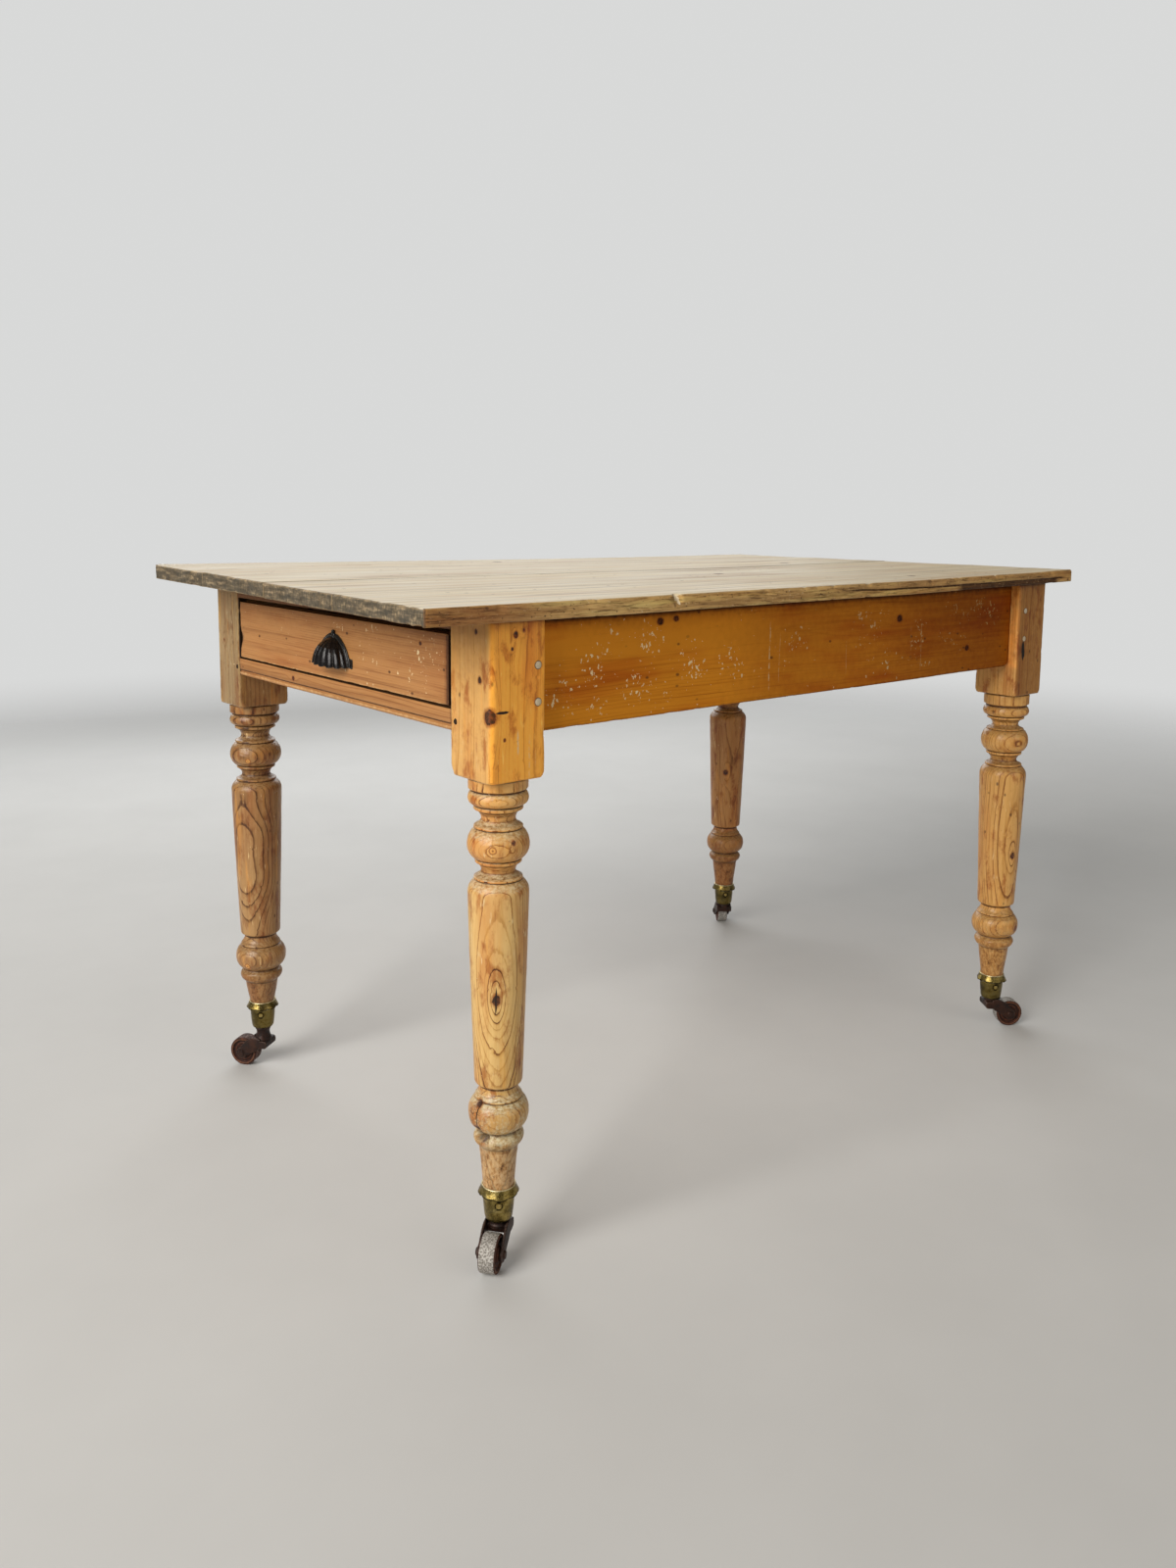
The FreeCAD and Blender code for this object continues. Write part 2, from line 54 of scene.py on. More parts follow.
def vnoise(p, seed=0):
    """Smooth value noise in -1..1 at the points p (n, 3)."""
    p = np.asarray(p, float)
    i = np.floor(p).astype(np.int64)
    f = p - i
    f = f * f * f * (f * (f * 6 - 15) + 10)
    out = 0
    for dx in (0, 1):
        wx = f[:, 0] if dx else 1 - f[:, 0]
        for dy in (0, 1):
            wy = f[:, 1] if dy else 1 - f[:, 1]
            for dz in (0, 1):
                wz = f[:, 2] if dz else 1 - f[:, 2]
                out = out + wx * wy * wz * _hash(i[:, 0] + dx, i[:, 1] + dy, i[:, 2] + dz, seed)
    return out * 2 - 1


def fbm(p, octaves=3, seed=0, gain=0.5):
    p = np.asarray(p, float)
    a, s, out = 1.0, 0.0, 0
    for k in range(octaves):
        out = out + a * vnoise(p * (2 ** k) + 13.7 * k, seed + 17 * k)
        s += a
        a *= gain
    return out / s


def smooth(t):
    t = np.clip(t, 0, 1)
    return t * t * (3 - 2 * t)


def col(*c):
    return np.stack([np.broadcast_to(np.asarray(x, float), np.broadcast(*c).shape) for x in c], -1)


# ---------------------------------------------------------------- mesh helpers
def make(name, verts, faces, mat, body, nodes, attrs=None, smooth_faces=True):
    me = bpy.data.meshes.new(name)
    if not isinstance(faces, list):
        faces = [faces]
    polys = []
    for f in faces:
        polys += np.asarray(f).tolist() if not isinstance(f, tuple) else [list(f)]
    me.from_pydata(np.asarray(verts, float).tolist(), [], polys)
    me.polygons.foreach_set("use_smooth", np.full(len(me.polygons), smooth_faces))
    for key, val in (attrs or {}).items():
        a = me.attributes.new(key, "FLOAT", "POINT")
        a.data.foreach_set("value", np.asarray(val, np.float32))
    me.update()
    return place(name, me, mat, body, nodes)


def place(name, me, mat, body, nodes):
    if nodes and nodes[0] == name and name in bpy.data.objects:
        name = name + "_worn"
    ob = bpy.data.objects.new(name, me)
    scene.collection.objects.link(ob)
    me.materials.clear()
    me.materials.append(mat)
    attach(ob, body)
    if nodes:
        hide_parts(*nodes)
    return ob


def axis(lo, hi, step, ends=(0, .0004, .0009, .0015, .0022, .003, .0042, .006), ends_hi=None):
    ends_hi = ends if ends_hi is None else ends_hi
    a, b = lo + ends[-1], hi - ends_hi[-1]
    n = max(2, int(round((b - a) / step)) + 1)
    return np.unique(np.round(np.concatenate([lo + np.array(ends), np.linspace(a, b, n), hi - np.array(ends_hi)]), 7))


def lattice(xs, ys, zs):
    """Closed surface of a box, with shared vertices, on the given grid lines."""
    nx, ny, nz = len(xs), len(ys), len(zs)
    on = np.zeros((nx, ny, nz), bool)
    on[[0, -1]] = True
    on[:, [0, -1]] = True
    on[:, :, [0, -1]] = True
    idx = np.full((nx, ny, nz), -1)
    idx[on] = np.arange(on.sum())
    I, J, K = np.nonzero(on)
    P = np.stack([xs[I], ys[J], zs[K]], 1)

    def side(A, flip):
        q = np.stack([A[:-1, :-1], A[1:, :-1], A[1:, 1:], A[:-1, 1:]], -1).reshape(-1, 4)
        return q[:, ::-1] if flip else q

    F = np.concatenate([
        side(idx[:, :, 0], True), side(idx[:, :, -1], False),
        side(idx[:, 0, :], False), side(idx[:, -1, :], True),
        side(idx[0], True), side(idx[-1], False)])
    return P, F


def round2(P, a, b, lo, hi, r):
    """Rounds the edges between the a faces and the b faces of the box by r (per vertex)."""
    r = np.broadcast_to(np.asarray(r, float), len(P))
    ca = np.clip(P[:, a], lo[a] + r, hi[a] - r)
    cb = np.clip(P[:, b], lo[b] + r, hi[b] - r)
    da, db = P[:, a] - ca, P[:, b] - cb
    m = np.maximum(np.abs(da), np.abs(db))
    q = np.hypot(da, db)
    s = np.where(q > 1e-12, m / np.maximum(q, 1e-12), 1.0)
    P[:, a] = ca + da * s
    P[:, b] = cb + db * s


def edge_near(P0, lo, hi, reach=0.004):
    """1 on an edge of the box, falling to 0 away from it."""
    d = np.minimum(P0 - np.asarray(lo), np.asarray(hi) - P0)
    return np.exp(-np.sort(d, 1)[:, 1] / reach)


def lathe(profile, n, wob=None, cap=True):
    """Revolves (r, z) points, from top to bottom or any open path, about Z. Returns verts, faces."""
    prof = np.asarray(profile, float)
    th = np.linspace(0, 2 * math.pi, n, endpoint=False)
    R = prof[:, 0][:, None] * np.ones(n)[None]
    Z = prof[:, 1][:, None] * np.ones(n)[None]
    if wob is not None:
        R, Z = wob(R, Z, th[None, :] + 0 * R)
    V = np.stack([R * np.cos(th), R * np.sin(th), Z], -1).reshape(-1, 3)
    k = np.arange(len(prof))
    A = k[:-1, None] * n + np.arange(n)[None]
    B = k[:-1, None] * n + (np.arange(n)[None] + 1) % n
    F = np.stack([A, A + n, B + n, B], -1).reshape(-1, 4)
    faces = [F]
    if cap:
        faces.append([list(range(n))])
        last = (len(prof) - 1) * n
        faces.append([list(range(last + n - 1, last - 1, -1))])
    return V, faces


def ring_lathe(profile, n, wob=None):
    """Revolves a closed (r, z) loop about Z, as a ring."""
    prof = np.asarray(profile, float)
    m = len(prof)
    th = np.linspace(0, 2 * math.pi, n, endpoint=False)
    R = prof[:, 0][:, None] * np.ones(n)[None]
    Z = prof[:, 1][:, None] * np.ones(n)[None]
    if wob is not None:
        R, Z = wob(R, Z, th[None, :] + 0 * R)
    V = np.stack([R * np.cos(th), R * np.sin(th), Z], -1).reshape(-1, 3)
    k = np.arange(m)
    k2 = (k + 1) % m
    j = np.arange(n)
    j2 = (j + 1) % n
    F = np.stack([k[:, None] * n + j, k2[:, None] * n + j, k2[:, None] * n + j2, k[:, None] * n + j2], -1).reshape(-1, 4)
    return V, [F]


def joined(parts):
    """[(verts, [face arrays])] into one verts, faces list."""
    V, F, base = [], [], 0
    for v, fs in parts:
        V.append(np.asarray(v, float))
        for f in fs:
            if isinstance(f, list):
                F.append([[i + base for i in p] for p in f])
            else:
                F.append(np.asarray(f) + base)
        base += len(v)
    return np.concatenate(V), F


def dense(profile, step):
    """Resamples an (r, z) polyline so that no step is longer than step."""
    out = [profile[0]]
    for p, q in zip(profile[:-1], profile[1:]):
        n = max(1, int(math.ceil(math.hypot(q[0] - p[0], q[1] - p[1]) / step)))
        for k in range(1, n + 1):
            out.append((p[0] + (q[0] - p[0]) * k / n, p[1] + (q[1] - p[1]) * k / n))
    return out


# ---------------------------------------------------------------- node helpers
class Graph:
    """A small writer for shader node trees."""

    def __init__(self, name):
        self.mat = bpy.data.materials.new(name)
        self.mat.use_nodes = True
        self.t = self.mat.node_tree
        self.t.nodes.clear()
        self.out = self.t.nodes.new("ShaderNodeOutputMaterial")
        self.bsdf = self.t.nodes.new("ShaderNodeBsdfPrincipled")
        self.t.links.new(self.bsdf.outputs[0], self.out.inputs["Surface"])
        self.coord = self.t.nodes.new("ShaderNodeTexCoord").outputs["Object"]

    def put(self, sock, v):
        if isinstance(v, bpy.types.NodeSocket):
            self.t.links.new(v, sock)
        elif v is not None:
            if hasattr(sock.default_value, "__len__") and not hasattr(v, "__len__"):
                v = (v,) * len(sock.default_value)
            if hasattr(v, "__len__") and len(sock.default_value) == 4 and len(v) == 3:
                v = (*v, 1.0)
            sock.default_value = v

    def math(self, op, a, b=None, c=None, clamp=False):
        n = self.t.nodes.new("ShaderNodeMath")
        n.operation = op
        n.use_clamp = clamp
        for s, v in zip(n.inputs, (a, b, c)):
            self.put(s, v)
        return n.outputs[0]

    def add(self, a, b): return self.math("ADD", a, b)
    def sub(self, a, b): return self.math("SUBTRACT", a, b)
    def mul(self, a, b): return self.math("MULTIPLY", a, b)

    def vmath(self, op, a, b=None):
        n = self.t.nodes.new("ShaderNodeVectorMath")
        n.operation = op
        self.put(n.inputs[0], a)
        if b is not None:
            if op == "SCALE":
                self.put(n.inputs["Scale"], b)
            else:
                self.put(n.inputs[1], b)
        return n.outputs["Value"] if op in ("LENGTH", "DOT_PRODUCT", "DISTANCE") else n.outputs["Vector"]

    def sep(self, v):
        n = self.t.nodes.new("ShaderNodeSeparateXYZ")
        self.put(n.inputs[0], v)
        return n.outputs

    def comb(self, x, y, z):
        n = self.t.nodes.new("ShaderNodeCombineXYZ")
        for s, v in zip(n.inputs, (x, y, z)):
            self.put(s, v)
        return n.outputs[0]

    def noise(self, vec, scale=1.0, detail=2.0, rough=0.5, distort=0.0, colour=False):
        n = self.t.nodes.new("ShaderNodeTexNoise")
        self.put(n.inputs["Vector"], vec)
        self.put(n.inputs["Scale"], scale)
        self.put(n.inputs["Detail"], detail)
        self.put(n.inputs["Roughness"], rough)
        self.put(n.inputs["Distortion"], distort)
        return n.outputs["Color" if colour else "Fac"]

    def voronoi(self, vec, scale=1.0, feature="F1", out="Distance", rand=1.0):
        n = self.t.nodes.new("ShaderNodeTexVoronoi")
        n.feature = feature
        self.put(n.inputs["Vector"], vec)
        self.put(n.inputs["Scale"], scale)
        self.put(n.inputs["Randomness"], rand)
        return n.outputs[out]

    def range(self, v, a, b, c=0.0, d=1.0, kind="SMOOTHSTEP"):
        n = self.t.nodes.new("ShaderNodeMapRange")
        n.interpolation_type = kind
        n.clamp = True
        for s, x in zip(n.inputs, (v, a, b, c, d)):
            self.put(s, x)
        return n.outputs[0]

    def ramp(self, v, stops, kind="LINEAR"):
        n = self.t.nodes.new("ShaderNodeValToRGB")
        e = n.color_ramp.elements
        n.color_ramp.interpolation = kind
        while len(e) < len(stops):
            e.new(0.5)
        for el, (pos, c) in zip(e, stops):
            el.position = pos
            el.color = (c, c, c, 1) if not hasattr(c, "__len__") else (*c, 1)
        self.put(n.inputs[0], v)
        return n.outputs[0]

    def mix(self, fac, a, b, mode="MIX"):
        n = self.t.nodes.new("ShaderNodeMix")
        n.data_type = "RGBA"
        n.blend_type = mode
        n.clamp_factor = True
        self.put(n.inputs[0], fac)
        self.put(n.inputs[6], a)
        self.put(n.inputs[7], b)
        return n.outputs[2]

    def attr(self, name):
        n = self.t.nodes.new("ShaderNodeAttribute")
        n.attribute_name = name
        return n.outputs["Fac"]

    def bump(self, height, strength=0.4, dist=0.001, normal=None):
        n = self.t.nodes.new("ShaderNodeBump")
        self.put(n.inputs["Strength"], strength)
        self.put(n.inputs["Distance"], dist)
        self.put(n.inputs["Height"], height)
        if normal is not None:
            self.put(n.inputs["Normal"], normal)
        return n.outputs[0]


def srgb(r, g, b):
    f = lambda c: (c / 255) / 12.92 if c <= 10.3 else (((c / 255) + 0.055) / 1.055) ** 2.4
    return (f(r), f(g), f(b))


# ---------------------------------------------------------------- old pine
def pine(name, along="X", origin=(0, 0, 0), seed=0, pith=(0.01, -0.05), ring=0.0034,
         pale=(222, 172, 104), mid=(205, 148, 80), late=(168, 108, 48), deep=(120, 70, 28),
         contrast=0.8, wander=0.010, fibre=0.35, tone=0.5, knots=(), flecks=0.0, fleck_spots=(),
         scratches=(), stains=0.4, grime_and_shade=0.6, wear_and_highlight_col=(226, 186, 126), wear_and_highlight=0.4, grey=0.0,
         rough=(0.42, 0.62), bump=0.35, shine=0.4, streaks=0.0,
         dots=0.3, worm=0.0, swell=(), side_mul=None, end_mul=None, dust_and_sheen=0.0, ankle=0.0, scuffs=0.0,
         slots=(), ankle_col=(218, 200, 162), dust_and_sheen_col=(214, 196, 160), shade_mul=(150, 122, 92), eyes=(), burls=(), face_light_mul=None, calm=None, chips=(), shaft_mul=None):
    """Aged pine. Grain runs along one axis; rings are drawn round a pith line; each knot is
    (x, y, z, radius, through axis) in metres."""
    g = Graph(name)
    p = g.vmath("SUBTRACT", g.coord, origin)
    s = g.sep(p)
    order = {"X": (0, 1, 2), "Y": (1, 0, 2), "Z": (2, 0, 1)}[along]
    u, v, w = (s[k] for k in order)
    so = seed * 3.17
    # coordinates with the grain first, in metres
    base = g.comb(g.add(u, so), g.add(v, so * 0.31), g.add(w, so * 0.73))

    # knots push the rings aside and have their own colour
    knot_mask, knot_rim, push = None, None, None
    for (kx, ky, kz, kr, thr) in knots:
        d = g.vmath("SUBTRACT", g.coord, (kx, ky, kz))
        keep = {"X": (0.15, 1, 1), "Y": (1, 0.15, 1), "Z": (1, 1, 0.15), "A": (1, 1, 1)}[thr]
        d = g.vmath("MULTIPLY", d, keep)
        ds = g.sep(d)
        lw = {"X": 0, "Y": 1, "Z": 2}[along]
        sc = [1.0, 1.0, 1.0]
        sc[lw] = 0.82
        d1 = g.vmath("LENGTH", g.vmath("MULTIPLY", d, tuple(sc)))
        sc[lw] = 0.34
        d2 = g.vmath("LENGTH", g.vmath("MULTIPLY", d, tuple(sc)))
        wob = g.mul(g.sub(g.noise(g.vmath("SCALE", g.coord, 260.0), 1.0, 2.0), 0.5), kr * 0.5)
        d1 = g.add(d1, wob)
        m = g.range(d1, kr * 1.02, kr * 0.88)
        rim = g.mul(g.range(d1, kr * 1.5, kr * 1.0), g.range(d1, kr * 0.55, kr * 0.95))
        ps = g.math("EXPONENT", g.mul(g.math("POWER", g.math("DIVIDE", d2, kr * 1.5), 2.0), -1.0))
        ps = g.mul(ps, kr * 1.4)
        knot_mask = m if knot_mask is None else g.math("MAXIMUM", knot_mask, m)
        knot_rim = rim if knot_rim is None else g.math("MAXIMUM", knot_rim, rim)
        push = ps if push is None else g.add(push, ps)

    # growth rings
    slow = g.vmath("MULTIPLY", base, (1.6, 9.0, 9.0))
    w1 = g.vmath("SUBTRACT", g.noise(slow, 1.0, 2.0, 0.5, colour=True), (0.5, 0.5, 0.5))
    fast = g.vmath("MULTIPLY", base, (10.0, 60.0, 60.0))
    w2 = g.vmath("SUBTRACT", g.noise(fast, 1.0, 2.0, 0.5, colour=True), (0.5, 0.5, 0.5))
    q = g.vmath("ADD", g.comb(0.0, g.sub(v, pith[0]), g.sub(w, pith[1])),
                g.vmath("ADD", g.vmath("SCALE", w1, wander * 2.2), g.vmath("SCALE", w2, wander * 0.16)))
    q = g.vmath("MULTIPLY", q, (0.0, 1.0, 1.0))
    dist = g.vmath("LENGTH", q)
    if push is not None:
        dist = g.add(dist, push)
    for (u0, half, amp) in swell:
        # the stem swells at a branch, so the rings run out of the face above and below it
        e = g.math("POWER", g.math("DIVIDE", g.sub(u, u0), half), 2.0)
        dist = g.add(dist, g.mul(g.math("EXPONENT", g.mul(e, -1.0)), amp))
    vary = g.noise(g.comb(0.0, g.mul(dist, 55.0), so), 1.0, 2.0)
    turns = g.add(g.math("DIVIDE", dist, ring), g.mul(vary, 2.6))
    fr = g.math("FRACT", turns)
    cell = g.math("FLOOR", turns)
    ringstr = g.noise(g.comb(g.mul(cell, 0.71), so, 0.0), 1.0, 0.0)
    band = g.ramp(fr, [(0.0, 0.06), (0.56, 0.09), (0.78, 0.36), (0.89, 1.0), (0.96, 0.95), (1.0, 0.06)], "EASE")
    band = g.mul(band, g.range(ringstr, 0.25, 0.75, 0.35, 1.0))

    # fibres and pores, stretched along the grain
    fv = g.vmath("MULTIPLY", base, (28.0, 900.0, 900.0))
    fib = g.noise(fv, 1.0, 3.0, 0.6)
    fv2 = g.vmath("MULTIPLY", base, (5.0, 190.0, 190.0))
    fib2 = g.noise(fv2, 1.0, 2.0, 0.55)
    patch = g.noise(g.vmath("MULTIPLY", base, (4.5, 22.0, 22.0)), 1.0, 3.0, 0.6)
    broad = g.noise(g.vmath("MULTIPLY", base, (2.2, 7.0, 7.0)), 1.0, 2.0, 0.5)

    if calm is not None:
        band = g.mul(band, g.range(g.sep(g.coord)[2], calm, calm + 0.01, 1.0, 0.50))
    t = g.add(g.mul(band, contrast), g.mul(g.sub(fib2, 0.5), fibre * 1.3))
    t = g.add(t, g.mul(g.sub(fib, 0.5), fibre))
    t = g.add(t, g.mul(g.sub(broad, 0.5), tone))
    c = g.ramp(t, [(0.0, srgb(*pale)), (0.32, srgb(*mid)), (0.72, srgb(*late)), (1.0, srgb(*deep))])
    # amber and dull patches of old polish
    amber = g.range(patch, 0.44, 0.72)
    c = g.mix(g.mul(amber, stains), c, g.mix(1.0, c, srgb(216, 150, 74), "MULTIPLY"))
    dull = g.range(broad, 0.52, 0.80)
    c = g.mix(g.mul(dull, stains * 0.55), c, g.mix(1.0, c, srgb(180, 150, 118), "MULTIPLY"))
    if grey:
        gv = g.noise(g.vmath("MULTIPLY", base, (3.0, 60.0, 60.0)), 1.0, 3.0, 0.6)
        hsv = g.t.nodes.new("ShaderNodeHueSaturation")
        g.put(hsv.inputs["Saturation"], 0.55)
        g.put(hsv.inputs["Color"], c)
        c = g.mix(g.mul(g.range(gv, 0.36, 0.62), grey), c, hsv.outputs[0])
    if streaks:
        sv = g.noise(g.vmath("MULTIPLY", base, (1.4, 75.0, 75.0)), 1.0, 3.0, 0.6)
        c = g.mix(g.mul(g.range(sv, 0.52, 0.74), streaks), c, g.mix(1.0, c, srgb(150, 122, 92), "MULTIPLY"))
    # small dark specks, bruises and pin holes
    if dots:
        dv = g.voronoi(g.vmath("MULTIPLY", base, (60.0, 95.0, 95.0)), 1.0)
        dr = g.voronoi(g.vmath("MULTIPLY", base, (60.0, 95.0, 95.0)), 1.0, out="Color")
        pick = g.range(g.sep(dr)[0], 0.90, 0.93)
        spot = g.mul(g.range(dv, 0.24, 0.10), pick)
        c = g.mix(g.mul(spot, dots * 1.6), c, srgb(84, 50, 24))
    if worm:
        wv = g.voronoi(g.vmath("SCALE", base, 150.0), 1.0)
        wr = g.voronoi(g.vmath("SCALE", base, 150.0), 1.0, out="Color")
        hole = g.mul(g.range(wv, 0.16, 0.11), g.range(g.sep(wr)[1], 0.965, 0.97))
        c = g.mix(g.mul(hole, worm), c, srgb(30, 16, 8))
    # dirt held in hollows, with painted shade under the top, in gaps and in creases; polish worn off the edges, partly
    # a painted highlight on rubbed arrises
    dirt_and_shade = g.attr("dirt_and_shade")
    edge = g.attr("edge")
    dn = g.noise(g.vmath("SCALE", g.coord, 120.0), 1.0, 3.0, 0.6)
    dm = g.mul(g.range(g.add(dirt_and_shade, g.mul(g.sub(dn, 0.5), 0.5)), 0.25, 0.95), grime_and_shade)
    c = g.mix(dm, c, g.mix(1.0, c, srgb(104, 74, 46), "MULTIPLY"))
    em = g.mul(g.range(g.add(edge, g.mul(g.sub(dn, 0.5), 1.2)), 0.55, 1.05), wear_and_highlight)
    if side_mul is not None:
        sd = g.attr("side")
        sn = g.noise(g.vmath("MULTIPLY", g.coord, (9.0, 9.0, 130.0)), 1.0, 3.0, 0.6)
        sm = g.range(g.add(sd, g.mul(g.sub(sn, 0.5), 0.5)), 0.30, 0.85)
        sc = g.mix(1.0, c, g.ramp(sn, [(0.3, srgb(*[v * 0.84 for v in side_mul])), (0.5, srgb(*side_mul)), (0.72, srgb(*[min(255, v * 1.16) for v in side_mul]))]), "MULTIPLY")
        sn2 = g.noise(g.vmath("MULTIPLY", g.coord, (40.0, 40.0, 520.0)), 1.0, 4.0, 0.68)
        sc = g.mix(1.0, sc, g.ramp(sn2, [(0.34, srgb(150, 138, 124)), (0.47, srgb(236, 232, 226)), (0.58, srgb(255, 255, 255))]), "MULTIPLY")
        sn3 = g.noise(g.vmath("MULTIPLY", g.coord, (230.0, 230.0, 300.0)), 1.0, 3.0, 0.6)
        sc = g.mix(g.mul(g.range(sn3, 0.635, 0.68), 0.75), sc, srgb(216, 188, 142))
        sc = g.mix(g.mul(g.range(sn3, 0.36, 0.32), 0.80), sc, srgb(58, 38, 22))
        c = g.mix(sm, c, sc)
    if end_mul is not None:
        ed = g.attr("endg")
        en = g.noise(g.vmath("MULTIPLY", g.coord, (20.0, 34.0, 190.0)), 1.0, 4.0, 0.65)
        en2 = g.noise(g.vmath("MULTIPLY", g.coord, (20.0, 420.0, 160.0)), 1.0, 3.0, 0.6)
        ev = g.add(g.mul(en, 0.65), g.mul(en2, 0.35))
        ec = g.ramp(ev, [(0.38, srgb(*[v * 0.36 for v in end_mul])), (0.46, srgb(*[v * 0.80 for v in end_mul])), (0.54, srgb(*[min(255, v * 1.30) for v in end_mul])), (0.63, srgb(*[min(255, v * 2.3) for v in end_mul]))])
        c = g.mix(g.mul(g.range(g.add(ed, g.mul(g.sub(en, 0.5), 0.5)), 0.30, 0.80), 0.92), c, ec)
    c = g.mix(em, c, srgb(*wear_and_highlight_col))
    if scuffs:
        sv1 = g.noise(g.vmath("MULTIPLY", base, (55.0, 420.0, 420.0)), 1.0, 2.0, 0.5)
        sv2 = g.noise(g.vmath("SCALE", g.coord, 30.0), 1.0, 2.0, 0.5)
        c = g.mix(g.mul(g.mul(g.range(sv1, 0.62, 0.74), g.range(sv2, 0.46, 0.66)), scuffs), c, srgb(236, 204, 150))
        sv3 = g.noise(g.vmath("ADD", g.vmath("MULTIPLY", base, (26.0, 62.0, 62.0)), (7.0, 3.0, 1.0)), 1.0, 5.0, 0.68)
        c = g.mix(g.mul(g.range(sv3, 0.50, 0.68), scuffs * 0.95), c, g.mix(1.0, c, srgb(188, 132, 78), "MULTIPLY"))
        sv4 = g.noise(g.vmath("ADD", g.vmath("MULTIPLY", base, (9.0, 85.0, 85.0)), (2.0, 8.0, 4.0)), 1.0, 4.0, 0.6)
        c = g.mix(g.mul(g.range(sv4, 0.54, 0.70), scuffs * 0.7), c, g.mix(0.5, c, srgb(236, 160, 62)))
    if ankle:
        az = g.sep(g.coord)[2]
        an = g.noise(g.vmath("MULTIPLY", g.coord, (190.0, 190.0, 120.0)), 1.0, 5.0, 0.72)
        am = g.mul(g.range(g.add(az, g.mul(g.sub(an, 0.5), -0.16)), 0.196, 0.150), ankle)
        c = g.mix(am, c, g.mix(1.0, g.mix(0.62, c, srgb(*ankle_col)), g.ramp(an, [(0.32, srgb(110, 80, 52)), (0.43, srgb(204, 176, 138)), (0.53, srgb(240, 226, 204)), (0.64, srgb(255, 251, 244))]), "MULTIPLY"))
        an2 = g.noise(g.vmath("MULTIPLY", g.coord, (330.0, 330.0, 240.0)), 1.0, 3.0, 0.6)
        c = g.mix(g.mul(g.mul(g.range(an2, 0.60, 0.70), am), 0.8), c, srgb(86, 54, 28))
    # up-facing surfaces paler: dust, and a painted sheen of the light from above
    if dust_and_sheen:
        d2n = g.noise(g.vmath("MULTIPLY", g.coord, (260.0, 260.0, 420.0)), 1.0, 4.0, 0.68)
        du = g.range(g.add(g.attr("dust_and_sheen"), g.add(g.mul(g.sub(dn, 0.5), 0.6), g.mul(g.sub(d2n, 0.5), 0.7))), 0.22, 0.72)
        dc = g.mix(1.0, srgb(*dust_and_sheen_col), g.ramp(d2n, [(0.34, srgb(150, 118, 82)), (0.45, srgb(222, 200, 170)), (0.58, srgb(255, 250, 240))]), "MULTIPLY")
        c = g.mix(g.mul(du, dust_and_sheen), c, g.mix(0.22, dc, c))
    if knot_mask is not None:
        kn = g.noise(g.vmath("SCALE", g.coord, 300.0), 1.0, 3.0, 0.6)
        kc = g.ramp(kn, [(0.41, srgb(30, 12, 6)), (0.53, srgb(82, 37, 15)), (0.70, srgb(122, 62, 28))])
        c = g.mix(g.mul(knot_rim, 0.70), c, srgb(142, 74, 24))
        c = g.mix(g.mul(knot_mask, 0.96), c, kc)
    for (ex, ey, ez, er_) in eyes:
        # a sound pale knot: amber ring, light heart, small dark pith
        de = g.add(g.vmath("DISTANCE", g.coord, (ex, ey, ez)), g.mul(g.sub(g.noise(g.vmath("SCALE", g.coord, 300.0), 1.0, 2.0), 0.5), er_ * 0.35))
        c = g.mix(g.mul(g.range(de, er_ * 1.25, er_ * 0.95), 0.85), c, srgb(150, 86, 34))
        c = g.mix(g.mul(g.range(de, er_ * 0.86, er_ * 0.66), 0.85), c, srgb(226, 166, 88))
        c = g.mix(g.mul(g.range(de, er_ * 0.40, er_ * 0.20), 0.8), c, srgb(128, 70, 28))
    for (bx, by, bz, br, bs) in burls:
        # twisted, cracked grain round an old wound
        bm = g.mul(g.range(g.vmath("DISTANCE", g.coord, (bx, by, bz)), br, br * 0.45), bs)
        bn = g.noise(g.vmath("SCALE", g.coord, 150.0), 1.0, 3.0, 0.6, 1.2)
        c = g.mix(g.mul(g.mul(bm, g.range(bn, 0.44, 0.60)), 0.6), c, srgb(166, 92, 40))
        c = g.mix(g.mul(g.mul(bm, g.range(g.math("ABSOLUTE", g.sub(bn, 0.5)), 0.030, 0.008)), 0.9), c, srgb(50, 25, 13))
    for (hx, hy, hz, rx, ry, rz) in chips:
        dh = g.vmath("LENGTH", g.vmath("MULTIPLY", g.vmath("SUBTRACT", g.coord, (hx, hy, hz)), (1 / rx, 1 / ry, 1 / rz)))
        dh = g.add(dh, g.mul(g.sub(g.noise(g.vmath("SCALE", g.coord, 520.0), 1.0, 3.0, 0.6), 0.5), 1.1))
        c = g.mix(g.mul(g.range(dh, 1.05, 0.80), 0.92), c, srgb(240, 222, 188))
    # one face of a leg block recoloured for how the light falls on it: painted light
    if face_light_mul is not None:
        c = g.mix(g.attr("face_light"), c, g.mix(1.0, c, face_light_mul, "MULTIPLY"))
    if shaft_mul is not None:
        hz_ = g.sep(g.coord)[2]
        c = g.mix(g.mul(g.range(hz_, 0.135, 0.150), g.range(hz_, 0.452, 0.436)), c, g.mix(1.0, c, shaft_mul, "MULTIPLY"))
    extra = None
    for (axis_i, at, halfw, lo, hi, strength, wavy) in scratches:
